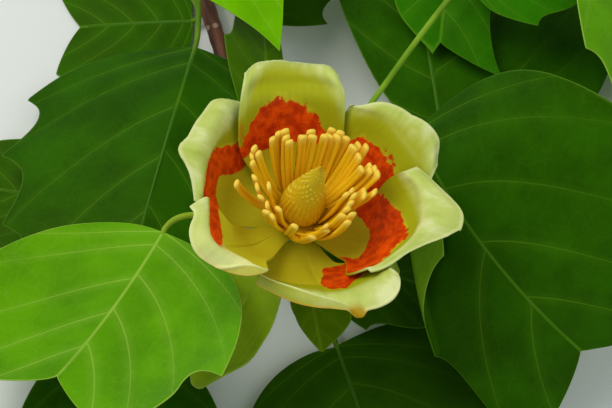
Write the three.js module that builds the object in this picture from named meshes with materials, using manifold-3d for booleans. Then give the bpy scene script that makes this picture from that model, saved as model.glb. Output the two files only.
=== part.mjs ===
// A cut flowering shoot of a tulip tree, laid on a level surface with its one open flower facing up.
// The woody twig lies on the surface, turns up under the flower and carries the leaves on long
// stalks. Lengths are in millimetres, +Z is up, and angles are in degrees.
import * as THREE from 'three';
import { mergeVertices } from 'three/addons/utils/BufferGeometryUtils.js';
import Module from 'manifold-3d';

const wasm = await Module();
wasm.setup();

const clearance = 0.3; // left between neighbouring pieces
const blade = { thickness: 1.1, columns: 3 };
const petalSheet = { thickness: 1.0, columns: 8, rows: 11 };
const leafStalkShape = { foot: 1.5, footShare: 0.06, base: 1.15, tip: 0.6, below: 0.5, steps: 12, sides: 6 };

// The receptacle is the seat of the flower; its top centre stands over the plan origin.
const flower = { height: 58, leanRight: 8, leanBack: 5 };
const receptacle = { radius: 4.2, collarRadius: 5.2, collarTop: -1.2, top: 1.6, bottom: -9, neck: 2.2 };
const cone = { radius: 6.3, height: 26, foot: 4.9, bow: 2.6 };
const stamen = {
  width: 2.3, thickness: 1.4, filament: 1.0, filamentShare: 0.15, taper: 0.3, foot: 3.2, elbowOut: 0.78,
  elbowUp: 0.28, steps: 5,
};
const stamenSeat = { inner: 4.5, outer: 7.6, bottom: 1.9, top: 4.5 };
const stamenRows = [
  { count: 16, start: 4, radius: 5.3, inset: 0.85 },
  { count: 22, start: 0, radius: 6.9, inset: 1 },
];
// Where the stamens' tips stand: how far out and how high at each angle round the flower.
const stamenTips = {
  around: [-180, -150, -130, -115, -100, -80, -60, -45, -25, -10, 10, 35, 60, 90, 120, 150, 180],
  reach: [13, 12, 9.5, 9.5, 10.5, 11, 11.5, 12.5, 15, 19, 22.5, 21.5, 17.5, 14.5, 15.5, 15.5, 13],
  rise: [26, 22, 15, 12.5, 8, 7, 8, 11.5, 16, 18, 18.5, 21.5, 24, 24.5, 24.5, 25.5, 26],
  least: 9.6,
};

const colours = {
  leaf: '#3f7d1c', deepLeaf: '#24500f', oliveLeaf: '#5d7a1a', petal: '#dfe39a', sepal: '#8fa64a',
  stamen: '#e8b23c', cone: '#c3b23a', stalk: '#8ca83a', bark: '#5b3a2a',
};

const degrees = THREE.MathUtils.degToRad;
const vector = ([x, y, z]) => new THREE.Vector3(x, y, z);
const mix = THREE.MathUtils.lerp;

// Eases from 0 at a to 1 at b.
function ease(x, a, b) {
  return THREE.MathUtils.smoothstep(x, a, b);
}

// The value at x between knots, held beyond the first and the last.
function between(knots, values, x) {
  const next = knots.findIndex((knot) => knot >= x);
  if (next === -1) {
    return values[values.length - 1];
  }
  if (next === 0) {
    return values[0];
  }
  return mix(values[next - 1], values[next], (x - knots[next - 1]) / (knots[next] - knots[next - 1]));
}

// A closed solid from a geometry, with its shared corners merged.
function toSolid(geometry) {
  const bare = geometry.clone();
  bare.deleteAttribute('normal');
  bare.deleteAttribute('uv');
  const merged = mergeVertices(bare, 1e-4);
  return new wasm.Manifold(new wasm.Mesh({
    numProp: 3,
    vertProperties: merged.attributes.position.array,
    triVerts: new Uint32Array(merged.index.array),
  }));
}

function toGeometry(solid) {
  const mesh = solid.getMesh();
  const geometry = new THREE.BufferGeometry();
  geometry.setAttribute('position', new THREE.BufferAttribute(mesh.vertProperties, 3));
  geometry.setIndex(new THREE.BufferAttribute(mesh.triVerts, 1));
  return geometry;
}

// Points and triangles become a geometry; a triangle with two corners in one place is left out.
function fromTriangles(points, triangles) {
  const geometry = new THREE.BufferGeometry();
  geometry.setAttribute('position', new THREE.Float32BufferAttribute(points.flatMap((p) => p.toArray()), 3));
  const same = (a, b) => points[a].distanceTo(points[b]) < 2e-3;
  const kept = triangles.filter(([a, b, c]) => !same(a, b) && !same(b, c) && !same(c, a));
  geometry.setIndex(kept.flat());
  return geometry;
}

// A thin closed sheet: a grid of points, each moved half the thickness along its normal both ways.
// The normals point to the side from which the columns run clockwise as the rows rise.
function sheet(grid, normals, thickness) {
  const rows = grid.length;
  const columns = grid[0].length;
  const points = [];
  for (const side of [0.5, -0.5]) {
    grid.forEach((row, i) => row.forEach((p, j) => {
      points.push(p.clone().addScaledVector(normals[i][j], side * thickness));
    }));
  }
  const at = (layer, i, j) => layer * rows * columns + i * columns + j;
  const triangles = [];
  const quad = (a, b, c, d) => triangles.push([a, b, c], [a, c, d]);
  for (let i = 0; i < rows - 1; i++) {
    for (let j = 0; j < columns - 1; j++) {
      quad(at(0, i, j), at(0, i, j + 1), at(0, i + 1, j + 1), at(0, i + 1, j));
      quad(at(1, i, j), at(1, i + 1, j), at(1, i + 1, j + 1), at(1, i, j + 1));
    }
    quad(at(1, i, 0), at(0, i, 0), at(0, i + 1, 0), at(1, i + 1, 0));
    quad(at(0, i, columns - 1), at(1, i, columns - 1), at(1, i + 1, columns - 1), at(0, i + 1, columns - 1));
  }
  for (let j = 0; j < columns - 1; j++) {
    quad(at(0, 0, j), at(1, 0, j), at(1, 0, j + 1), at(0, 0, j + 1));
    quad(at(1, rows - 1, j), at(0, rows - 1, j), at(0, rows - 1, j + 1), at(1, rows - 1, j + 1));
  }
  return fromTriangles(points, triangles);
}

// A closed body through rings of equal count, with a fan over each end.
function loft(rings) {
  const sides = rings[0].length;
  const points = rings.flat();
  const triangles = [];
  for (let i = 0; i < rings.length - 1; i++) {
    for (let j = 0; j < sides; j++) {
      const next = (j + 1) % sides;
      const a = i * sides + j;
      const b = i * sides + next;
      triangles.push([a, b, b + sides], [a, b + sides, a + sides]);
    }
  }
  const last = (rings.length - 1) * sides;
  for (let j = 1; j < sides - 1; j++) {
    triangles.push([0, j + 1, j], [last, last + j, last + j + 1]);
  }
  return fromTriangles(points, triangles);
}

// A tapering limb along a curve; radiusAt gives its radius from 0 at the start to 1 at the end.
function limb(curve, steps, sides, radiusAt) {
  const frames = curve.computeFrenetFrames(steps, false);
  const rings = [];
  for (let i = 0; i <= steps; i++) {
    const centre = curve.getPointAt(i / steps);
    const radius = radiusAt(i / steps);
    const ring = [];
    for (let j = 0; j < sides; j++) {
      const turn = (2 * Math.PI * j) / sides;
      ring.push(centre.clone()
        .addScaledVector(frames.normals[i], radius * Math.cos(turn))
        .addScaledVector(frames.binormals[i], radius * Math.sin(turn)));
    }
    rings.push(ring);
  }
  return loft(rings);
}

// Where a path of some length ends when it starts at an angle and turns steadily: [along, up].
function arcEnd(length, start, turnPerLength) {
  const k = Math.abs(turnPerLength) < 1e-6 ? 1e-6 : turnPerLength;
  const end = start + k * length;
  return [(Math.sin(end) - Math.sin(start)) / k, (Math.cos(start) - Math.cos(end)) / k];
}

const flowerAxis = new THREE.Vector3(
  Math.tan(degrees(flower.leanRight)),
  Math.tan(degrees(flower.leanBack)),
  1,
).normalize();
const flowerTilt = new THREE.Quaternion().setFromUnitVectors(new THREE.Vector3(0, 0, 1), flowerAxis);

// The wood: the cut end lies on the surface at the back, the side shoot leaves it on the right,
// and the green flower stalk takes over where the twig has turned up.
const twigPath = [
  [-47, 166, 3.2], [-37, 126, 4.2], [-28.5, 95, 6.5], [-20, 66, 8.5], [-10, 36, 15], [-5, 19, 27],
];
const sidePath = [[-37, 128, 4.2], [-20, 139, 4.2], [10, 147, 4.5], [48, 153, 5.5], [74, 157, 8]];

function smoothPath(points) {
  return new THREE.CatmullRomCurve3(points.map(vector), false, 'centripetal');
}

// The flower stalk goes on from the twig's end and bends into the flower's axis.
function stalkCurve(twig) {
  const top = new THREE.Vector3(0, 0, flower.height).addScaledVector(flowerAxis, receptacle.bottom + 1);
  const away = twig.getTangentAt(1);
  const start = twig.getPointAt(1).addScaledVector(away, clearance);
  return new THREE.CubicBezierCurve3(
    start,
    start.clone().addScaledVector(away, 7),
    top.clone().addScaledVector(flowerAxis, -9),
    top.clone().addScaledVector(flowerAxis, 2),
  );
}

const twigCurve = smoothPath(twigPath);
const limbs = {
  twig: { curve: twigCurve, radiusAt: (t) => mix(3.0, 2.1, t) },
  side: { curve: smoothPath(sidePath), radiusAt: (t) => mix(2.4, 1.5, t) },
  stalk: { curve: stalkCurve(twigCurve), radiusAt: (t) => mix(1.9, receptacle.neck, t) },
};

// Where a leaf stalk leaves its limb: a point just clear of the surface, and the way straight out.
function budPoint(leaf) {
  const { curve, radiusAt } = limbs[leaf.on];
  const tangent = curve.getTangentAt(leaf.at);
  const out = vector(leaf.leaving);
  out.addScaledVector(tangent, -out.dot(tangent)).normalize();
  const start = curve.getPointAt(leaf.at).addScaledVector(out, radiusAt(leaf.at) + clearance);
  return { start, out };
}

// Half outlines from the leaf's base to its notch, in midrib lengths: [out, along] for the start,
// two control points and the end of each curve. A lobe tip is where two curves meet.
const halfOutlines = {
  broad: [
    [[0, 0], [0.40, -0.03], [0.62, 0.22], [0.74, 0.69]],
    [[0.74, 0.69], [0.52, 0.74], [0.62, 1.00], [0.45, 1.22]],
    [[0.45, 1.22], [0.32, 1.19], [0.12, 1.10], [0, 1]],
  ],
  notched: [
    [[0, 0], [0.46, 0], [0.64, 0.22], [0.78, 0.735]],
    [[0.78, 0.735], [0.66, 0.69], [0.54, 0.66], [0.575, 0.83]],
    [[0.575, 0.83], [0.595, 0.93], [0.50, 1.06], [0.45, 1.22]],
    [[0.45, 1.22], [0.32, 1.19], [0.12, 1.10], [0, 1]],
  ],
  folded: [
    [[0, 0], [0.10, 0.08], [0.15, 0.30], [0.15, 0.62]],
    [[0.15, 0.62], [0.14, 0.78], [0.13, 0.95], [0.11, 1.08]],
    [[0.11, 1.08], [0.08, 1.06], [0.03, 1.03], [0, 1]],
  ],
  threeTipped: [
    [[0, 0], [0.36, -0.02], [0.50, 0.10], [0.62, 0.27]],
    [[0.62, 0.27], [0.50, 0.32], [0.55, 0.42], [0.65, 0.55]],
    [[0.65, 0.55], [0.48, 0.60], [0.52, 0.72], [0.56, 0.86]],
    [[0.56, 0.86], [0.40, 0.90], [0.42, 1.05], [0.36, 1.15]],
    [[0.36, 1.15], [0.25, 1.12], [0.10, 1.06], [0, 1]],
  ],
  toothed: [
    [[0, 0], [0.22, -0.02], [0.30, 0.12], [0.41, 0.47]],
    [[0.41, 0.47], [0.34, 0.49], [0.33, 0.58], [0.385, 0.68]],
    [[0.385, 0.68], [0.33, 0.72], [0.36, 0.85], [0.42, 1.15]],
    [[0.42, 1.15], [0.30, 1.13], [0.12, 1.08], [0, 1]],
  ],
  deepSinus: [
    [[0, 0], [0.40, -0.03], [0.62, 0.25], [0.74, 0.69]],
    [[0.74, 0.69], [0.56, 0.62], [0.46, 0.80], [0.42, 1.18]],
    [[0.42, 1.18], [0.30, 1.15], [0.12, 1.08], [0, 1]],
  ],
  narrow: [
    [[0, 0], [0.16, 0.00], [0.34, 0.30], [0.38, 0.82]],
    [[0.38, 0.82], [0.28, 0.84], [0.30, 1.00], [0.24, 1.16]],
    [[0.24, 1.16], [0.16, 1.12], [0.06, 1.06], [0, 1]],
  ],
  modest: [
    [[0, 0], [0.30, -0.05], [0.38, 0.12], [0.35, 0.32]],
    [[0.35, 0.32], [0.28, 0.50], [0.24, 0.80], [0.20, 1.08]],
    [[0.20, 1.08], [0.14, 1.06], [0.06, 1.04], [0, 1]],
  ],
  slimLobe: [
    [[0, 0], [0.20, -0.02], [0.30, 0.10], [0.33, 0.50]],
    [[0.33, 0.50], [0.30, 0.70], [0.31, 0.98], [0.44, 1.22]],
    [[0.44, 1.22], [0.30, 1.17], [0.12, 1.10], [0, 1]],
  ],
  snubLobe: [
    [[0, 0], [0.24, -0.02], [0.36, 0.30], [0.34, 0.70]],
    [[0.34, 0.70], [0.30, 0.88], [0.14, 0.98], [0.04, 1.10]],
    [[0.04, 1.10], [0.03, 1.07], [0.01, 1.03], [0, 1]],
  ],
  longLobe: [
    [[0, 0], [0.30, -0.03], [0.50, 0.10], [0.53, 0.50]],
    [[0.53, 0.50], [0.52, 0.80], [0.50, 1.05], [0.57, 1.32]],
    [[0.57, 1.32], [0.40, 1.24], [0.12, 1.10], [0, 1]],
  ],
  wide: [
    [[0, 0], [0.50, -0.16], [0.86, 0.12], [0.90, 0.66]],
    [[0.90, 0.66], [0.66, 0.76], [0.74, 1.00], [0.55, 1.22]],
    [[0.55, 1.22], [0.38, 1.19], [0.14, 1.10], [0, 1]],
  ],
  pointedNarrow: [
    [[0, 0], [0.15, 0.08], [0.30, 0.32], [0.22, 0.55]],
    [[0.22, 0.55], [0.20, 0.74], [0.06, 0.92], [0, 1]],
  ],
  pointedBroad: [
    [[0, 0], [0.22, 0.06], [0.50, 0.42], [0.38, 0.72]],
    [[0.38, 0.72], [0.30, 0.84], [0.08, 0.94], [0, 1]],
  ],
};

// Samples a half outline evenly within each of its curves, without its first point.
function sampleOutline(curves, steps) {
  return curves.flatMap((points) => {
    const [a, b, c, d] = points.map(([x, y]) => new THREE.Vector2(x, y));
    return new THREE.CubicBezierCurve(a, b, c, d).getPoints(steps).slice(1);
  });
}

// Each leaf runs from its base to its notch. roll turns it about the midrib, right side down;
// fold raises both halves from the midrib, curl bends them up towards the margin and bend arches
// the midrib. right and left name the half outlines. Its stalk leaves the named limb, at a share
// of that limb's length, towards leaving. rests puts its lowest point on the surface.
const flatLeaf = { roll: 0, fold: 3, curl: -6, bend: 8, rests: true, colour: 'deepLeaf' };
const leaves = [
  { name: 'leaf_front_left', base: [-39.6, 2.3, 43.4], tip: [-68.8, -45.1, 49.6], width: 1.18, roll: 21,
    fold: -10, curl: 40, bend: -19, left: 'notched', colour: 'leaf', on: 'stalk', at: 0.45,
    leaving: [-10, -2, 2] },
  { name: 'leaf_left', base: [-32.1, 76.6, 16.2], tip: [-49.4, -3.8, 31.9], width: 0.96, roll: 1,
    fold: -17, curl: 5, bend: 16, right: 'threeTipped', left: 'modest', colour: 'deepLeaf',
    on: 'twig', at: 0.42, leaving: [0, -3, 6] },
  { name: 'leaf_right', base: [35.3, 38.4, 36.0], tip: [82.6, -30.7, 32.0], width: 1.03, roll: 41,
    fold: 0, curl: 5, bend: 58, right: 'toothed', colour: 'deepLeaf',
    rolled: { start: 0.005, slope: 0.51, after: 0.30, until: 0.68, openBelow: 1.2, openAbove: 3, radius: 1.9,
      turn: 190 }, columns: 6,
    on: 'stalk', at: 0.15, leaving: [10, 2, 1] },
  { name: 'leaf_front', ...flatLeaf, base: [11.6, -18.4, 8.0], tip: [25.9, -62.1, 5.0], width: 1.2,
    left: 'wide', on: 'twig', at: 0.97, leaving: [3, -8, -4] },
  { name: 'leaf_under_flower', base: [1.8, -8.0, 43.0], tip: [7.0, -32.6, 36.0], width: 1.0, roll: 0,
    fold: 8, curl: -12, bend: 20, right: 'pointedNarrow', left: 'pointedBroad', colour: 'oliveLeaf',
    on: 'stalk', at: 0.5, leaving: [1, -4, -1] },
  { name: 'leaf_back_bright', base: [-39.4, 107.6, 50.0], tip: [-5.0, 87.4, 46.0], width: 1.0, roll: 0,
    fold: 6, curl: -10, bend: 15, right: 'longLobe', colour: 'leaf',
    on: 'twig', at: 0.30, leaving: [-2, 0, 10] },
  { name: 'leaf_back_middle', base: [-20.8, 97.8, 14.0], tip: [9.8, 111.0, 14.0], width: 0.9, roll: 7,
    fold: 4, curl: -6, bend: 13, right: 'deepSinus', left: 'narrow', colour: 'deepLeaf',
    on: 'twig', at: 0.38, leaving: [5, 2, 4] },
  { name: 'leaf_young', base: [-10.7, 35.4, 40.0], tip: [-10.4, 72.0, 34.0], width: 1.0, roll: 19,
    fold: 14, curl: -10, bend: 26, right: 'folded', left: 'narrow', colour: 'oliveLeaf',
    on: 'twig', at: 0.93, leaving: [-2, 3, 6] },
  { name: 'leaf_back', base: [48.4, 116.5, 22.0], tip: [43.6, 75.4, 22.0], width: 1.1, roll: 0,
    fold: 6, curl: -12, bend: 20, right: 'snubLobe', left: 'slimLobe', colour: 'leaf',
    on: 'side', at: 0.45, leaving: [6, -4, 5] },
  { name: 'leaf_back_right', base: [53.2, 90.5, 36.0], tip: [78.3, 93.6, 34.0], width: 1.0, roll: 0,
    fold: 6, curl: -12, bend: 20, colour: 'leaf', on: 'stalk', at: 0.3, leaving: [6, 6, 3], bow: 6 },
  { name: 'leaf_far_right', ...flatLeaf, base: [44.0, 44.6, 12.0], tip: [33.8, 120.0, 5.0], width: 0.92,
    roll: 9, bend: 16, right: 'wide', left: 'narrow', on: 'twig', at: 0.90, leaving: [6, 2, -3] },
  { name: 'leaf_side', base: [95.5, 107.6, 26.0], tip: [112.0, 60.1, 18.0], width: 0.78, roll: -29,
    fold: 10, curl: -8, bend: 27, colour: 'leaf', on: 'side', at: 0.9, leaving: [6, -3, 6] },
  { name: 'leaf_back_left', ...flatLeaf, base: [-34.6, 92.4, 6.0], tip: [-69.0, 91.3, 4.0], width: 1.0,
    on: 'twig', at: 0.34, leaving: [-5, -1, 1] },
  { name: 'leaf_far_left', ...flatLeaf, base: [-63.2, 27.3, 7.0], tip: [-94.0, 35.2, 3.0], width: 0.96,
    on: 'twig', at: 0.72, leaving: [-8, -3, -1] },
  { name: 'leaf_low_left', ...flatLeaf, base: [-55.1, -17.7, 8.0], tip: [-52.8, -60.7, 4.0], width: 1.0,
    on: 'twig', at: 0.90, leaving: [-6, -6, -2] },
  { name: 'leaf_low_right', base: [6.0, 8.0, 18.0], tip: [36.0, -2.0, 14.0], width: 0.8, roll: 0,
    fold: -8, curl: -6, bend: 10, colour: 'deepLeaf', on: 'twig', at: 0.95, leaving: [6, -2, -3] },
];

// The leaf's own axes: along the midrib, to its right, and up from its upper face.
function leafAxes(leaf) {
  const along = vector(leaf.tip).sub(vector(leaf.base));
  const chord = along.length();
  along.normalize();
  const flat = new THREE.Vector3().crossVectors(along, new THREE.Vector3(0, 0, 1)).normalize();
  const raised = new THREE.Vector3().crossVectors(flat, along);
  const roll = degrees(leaf.roll);
  const right = flat.clone().multiplyScalar(Math.cos(roll)).addScaledVector(raised, -Math.sin(roll));
  const up = raised.clone().multiplyScalar(Math.cos(roll)).addScaledVector(flat, Math.sin(roll));
  const half = degrees(leaf.bend) / 2;
  const length = Math.abs(half) < 1e-6 ? chord : (chord * half) / Math.sin(half);
  return { along, right, up, length, half };
}

// A point of the blade, x out from the midrib (right is positive) and y along it, in midrib lengths.
// Across, the section leaves the midrib at the fold angle and turns by curl per length. A rolled
// margin starts at a distance that grows by slope, turns on with its own radius and then lies back,
// and it opens out again below after and above until. Along, the midrib is an arc through bend.
function leafPoint(leaf, axes, x, y) {
  const { along, right, up, length, half } = axes;
  const out = Math.abs(x) * leaf.width * length;
  const fold = degrees(leaf.fold);
  const turn = degrees(leaf.curl) / length;
  let flatPart = out;
  if (leaf.rolled && x > 0) {
    const { start, slope, after, until, openBelow, openAbove } = leaf.rolled;
    const opened = openBelow * Math.max(0, after - y) + openAbove * Math.max(0, y - until);
    const from = start + slope * y + opened;
    flatPart = Math.min(out, from * leaf.width * length);
  }
  let [across, lift] = arcEnd(flatPart, fold, turn);
  if (out > flatPart) {
    const { radius } = leaf.rolled;
    const fullTurn = degrees(leaf.rolled.turn);
    const onArc = Math.min(out - flatPart, radius * fullTurn);
    const startAngle = fold + turn * flatPart;
    const [more, higher] = arcEnd(onArc, startAngle, 1 / radius);
    const straight = out - flatPart - onArc;
    across += more + straight * Math.cos(startAngle + fullTurn);
    lift += higher + straight * Math.sin(startAngle + fullTurn);
  }
  const bendTurn = (-2 * half) / length;
  const [forward, rise] = arcEnd(y * length, half, bendTurn);
  const slopeHere = half + bendTurn * y * length;
  return vector(leaf.base)
    .addScaledVector(right, Math.sign(x) * across)
    .addScaledVector(along, forward - Math.sin(slopeHere) * lift)
    .addScaledVector(up, rise + Math.cos(slopeHere) * lift);
}

function leafNormal(leaf, axes, x, y) {
  const small = 0.004;
  const side = x === 0 ? 0 : Math.sign(x);
  const normalAt = (centre) => {
    const left = leafPoint(leaf, axes, centre - small, y);
    const acrossStep = leafPoint(leaf, axes, centre + small, y).sub(left);
    const alongStep = leafPoint(leaf, axes, x, y + small).sub(leafPoint(leaf, axes, x, y - small));
    return acrossStep.cross(alongStep).normalize();
  };
  return normalAt(x + side * small * 1.5);
}

// The blade is ruled from the midrib to the margin: each margin point is joined to a point of the
// midrib, and the joins start at the base and end at the notch.
function leafBlade(leaf, axes) {
  const steps = 4;
  const rightHalf = sampleOutline(halfOutlines[leaf.right ?? 'broad'], steps);
  const leftHalf = sampleOutline(halfOutlines[leaf.left ?? 'broad'], steps);
  const count = Math.max(rightHalf.length, leftHalf.length);
  const spread = (half, i) => {
    const place = ((i + 1) / count) * half.length - 1;
    const low = Math.floor(place);
    const a = low < 0 ? new THREE.Vector2(0, 0) : half[low];
    return a.clone().lerp(half[Math.min(low + 1, half.length - 1)], place - low);
  };
  const grid = [[]];
  const normals = [[]];
  const columns = leaf.columns ?? blade.columns;
  for (let j = -columns; j <= columns; j++) {
    grid[0].push(leafPoint(leaf, axes, 0, 0));
    normals[0].push(leafNormal(leaf, axes, 0, 0.01));
  }
  for (let i = 0; i < count; i++) {
    const last = i === count - 1;
    const row = [];
    const rowNormals = [];
    for (let j = -columns; j <= columns; j++) {
      const margin = spread(j < 0 ? leftHalf : rightHalf, i);
      const share = Math.abs(j) / columns;
      const rib = last ? 1 : Math.min(0.97, mix((i + 1) / count, margin.y, 0.45));
      const x = last ? 0 : margin.x * share * Math.sign(j);
      const y = last ? 1 : mix(rib, margin.y, share);
      row.push(leafPoint(leaf, axes, x, y));
      rowNormals.push(last ? leafNormal(leaf, axes, 0, 0.99) : leafNormal(leaf, axes, x, y));
    }
    grid.push(row);
    normals.push(rowNormals);
  }
  return sheet(grid, normals, blade.thickness);
}

// The stalk bows from the wood to the blade and runs on under it as the midrib.
function leafStalk(leaf, axes) {
  const { start, out } = budPoint(leaf);
  const base = vector(leaf.base);
  const into = leafPoint(leaf, axes, 0, 0.1).sub(base).normalize();
  const reach = start.distanceTo(base);
  const bow = new THREE.CubicBezierCurve3(
    start,
    start.clone().addScaledVector(out, Math.min(reach * 0.35, leaf.bow ?? 14)),
    base.clone().addScaledVector(into, -Math.min(reach * 0.35, leaf.bow ?? 14)),
    base,
  );
  const points = bow.getPoints(6).slice(1, -1);
  points.unshift(start, start.clone().addScaledVector(out, 1.5));
  for (const y of [0.04, 0.25, 0.5, 0.75]) {
    const down = leafNormal(leaf, axes, 0, y).multiplyScalar(-leafStalkShape.below);
    points.push(leafPoint(leaf, axes, 0, y).add(down));
  }
  const curve = new THREE.CatmullRomCurve3(points, false, 'centripetal');
  const { foot, footShare, base: thick, tip: thin, steps, sides } = leafStalkShape;
  return limb(curve, steps, sides, (t) => (t < footShare ? foot : mix(thick, thin, t)));
}

function settle(leaf) {
  const axes = leafAxes(leaf);
  const position = leafBlade(leaf, axes).attributes.position;
  let lowest = Infinity;
  for (let i = 0; i < position.count; i++) {
    lowest = Math.min(lowest, position.getZ(i));
  }
  leaf.base[2] -= lowest;
  leaf.tip[2] -= lowest;
}

function makeLeaf(leaf) {
  if (leaf.rests) {
    settle(leaf);
  }
  const axes = leafAxes(leaf);
  return toGeometry(toSolid(leafBlade(leaf, axes)).add(toSolid(leafStalk(leaf, axes))));
}

// The six petals. azimuth turns counter-clockwise from +X. The midline leaves the receptacle at the
// claw angle, steepens to the wall angle and turns out to the lip angle from lipAt of its length.
// cup is the angle that the section reaches at the margin, flare turns the margin back out, lean
// swings the tip sideways, twist turns the petal about its midline, skew and corner shape the tip's
// two corners, tipWidth is its width there and point draws out its middle. roll turns the lip down:
// at each place across, from a share of the length, through an angle and over a share of the length
// left, and bend is the part of that lip that is curved. cut narrows one side of the claw.
const innerSeat = { radius: 4.6, height: 0 };
const outerSeat = { radius: 5.6, height: -2.4 };
const petals = [
  { name: 'petal_inner_back', seat: innerSeat, azimuth: 103, length: 45.7, width: 32.1, claw: 14, wall: 54,
    lip: -13, lipAt: 0.66, cup: 35, flare: 36, lean: -6.4, twist: -2, skew: 0.04, corner: 0.11,
    tipWidth: 0.83, point: -0.01,
    roll: { bend: 0.8, at: [-1, -0.8, -0.5, 0, 0.5, 0.8, 1],
      from: [0.82, 0.84, 0.86, 0.88, 0.86, 0.84, 0.82],
      angle: [28, 28, 28, 28, 27, 26, 25], share: [0.9, 1.07, 1.12, 1.45, 1.32, 1.0, 0.8] } },
  { name: 'petal_outer_right', seat: outerSeat, azimuth: 28.2, length: 44.5, width: 33.6, claw: 8, wall: 54,
    lip: 22, lipAt: 0.79, cup: 18, flare: 28, lean: 10.6, twist: 15.7, skew: -0.10, corner: 0.15,
    tipWidth: 0.89, point: -0.01,
    roll: { bend: 0.8, at: [-1, -0.5, 0, 0.5, 1], from: [0.78, 0.78, 0.81, 0.85, 0.88],
      angle: [40, 40, 38, 34, 30], share: [0.68, 0.93, 0.95, 0.9, 1.15] } },
  { name: 'petal_inner_right', seat: innerSeat, azimuth: -22.6, length: 52.4, width: 35.8, claw: 5, wall: 56,
    lip: 11, lipAt: 0.77, cup: 26, flare: -45, lean: 4.8, twist: 2.4, skew: -0.12, corner: 0.25,
    tipWidth: 0.71, point: 0.04, cut: { side: -1, depth: 0.25, from: 0.25, to: 0.40 },
    roll: { bend: 0.35, at: [-1, -0.8, -0.6, -0.45, -0.3, -0.1, 0.1, 0.4, 1],
      from: [0.60, 0.62, 0.64, 0.68, 0.73, 0.75, 0.75, 0.73, 0.70],
      angle: [50, 50, 50, 50, 48, 45, 42, 38, 30],
      share: [0.15, 0.15, 0.17, 0.25, 0.5, 0.7, 0.85, 1.0, 0.7] } },
  { name: 'petal_outer_front', seat: outerSeat, azimuth: -75.7, length: 48.1, width: 38.0, claw: 7, wall: 48,
    lip: -12, lipAt: 0.83, cup: 33, flare: -7, lean: -5.3, twist: 0.3, skew: 0.06, corner: 0.29,
    tipWidth: 1.43, point: -0.04, cut: { side: 1, depth: 0.45, from: 0.22, to: 0.40 },
    roll: { bend: 1, at: [-1, -0.7, -0.45, -0.2, 0.1, 0.3, 0.6, 1],
      from: [0.50, 0.50, 0.50, 0.58, 0.66, 0.68, 0.71, 0.80],
      angle: [90, 95, 100, 100, 80, 60, 30, 15],
      share: [0.17, 0.18, 0.25, 0.30, 0.38, 0.58, 0.75, 0.83] } },
  { name: 'petal_inner_left', seat: innerSeat, azimuth: 221.2, length: 45.5, width: 31.9, claw: 12, wall: 47,
    lip: 34, lipAt: 0.56, cup: 43, flare: 10, lean: 0.4, twist: -3.5, skew: -0.04, corner: 0.21,
    tipWidth: 1.02, point: 0, cut: { side: -1, depth: 0.5, from: 0.42, to: 0.60 },
    roll: { bend: 0.6, at: [-1, -0.6, -0.2, 0.1, 0.4, 0.7, 1],
      from: [0.72, 0.70, 0.74, 0.66, 0.60, 0.66, 0.80],
      angle: [60, 60, 65, 70, 70, 65, 50], share: [0.45, 0.50, 0.62, 0.45, 0.35, 0.27, 0.25] } },
  { name: 'petal_outer_left', seat: outerSeat, azimuth: 153.3, length: 46.6, width: 37.7, claw: 12, wall: 59,
    lip: 3, lipAt: 0.79, cup: 18, flare: 27, lean: 5.5, twist: 9.4, skew: 0.05, corner: 0.23,
    tipWidth: 0.99, point: -0.02,
    roll: { bend: 0.6, at: [-1, -0.5, 0, 0.4, 1], from: [0.72, 0.70, 0.71, 0.71, 0.69],
      angle: [30, 35, 40, 45, 45], share: [0.8, 0.62, 0.65, 0.65, 0.4] } },
];

// The three sepals hang from under the petals.
const sepals = [
  { name: 'sepal_front', azimuth: 236, length: 51, width: 22, claw: -22, wall: -44, lip: -34 },
  { name: 'sepal_right', azimuth: 3, length: 40, width: 21, claw: -12, wall: -48, lip: -60 },
  { name: 'sepal_back', azimuth: 128, length: 38, width: 21, claw: -12, wall: -50, lip: -64 },
].map((sepal) => ({
  seat: { radius: receptacle.collarRadius + 0.4, height: -5.6 }, lipAt: 0.7, cup: 22, flare: 0, lean: 0,
  twist: 0, skew: 0, corner: 0.32, tipWidth: 0.45, point: 0, ...sepal,
}));

// A step along the midline of a petal or sepal: how far it slopes at s, from 0 at the seat to 1.
function midlineSlope(petal, s) {
  const toWall = (petal.wall - petal.claw) * ease(s, 0.10, 0.42);
  const toLip = (petal.lip - petal.wall) * ease(s, petal.lipAt, petal.lipAt + 0.28);
  return degrees(petal.claw + toWall + toLip);
}

function midline(petal) {
  const pieces = 120;
  const reach = 1.4;
  const stations = [{ r: petal.seat.radius, h: petal.seat.height }];
  for (let i = 0; i < pieces; i++) {
    const slope = midlineSlope(petal, ((i + 0.5) / pieces) * reach);
    const step = (petal.length * reach) / pieces;
    const { r, h } = stations[i];
    stations.push({ r: r + step * Math.cos(slope), h: h + step * Math.sin(slope) });
  }
  return (s) => {
    const place = THREE.MathUtils.clamp((s / reach) * pieces, 0, pieces - 1e-6);
    const low = Math.floor(place);
    const a = stations[low];
    const b = stations[low + 1];
    return { r: mix(a.r, b.r, place - low), h: mix(a.h, b.h, place - low) };
  };
}

// The share that a cut takes from the petal's width on its side of the claw.
function clawCut(petal, u, s) {
  if (!petal.cut || petal.cut.side * u <= 0) {
    return 0;
  }
  const { depth, from, to } = petal.cut;
  return depth * (1 - ease(s, from, to));
}

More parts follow.
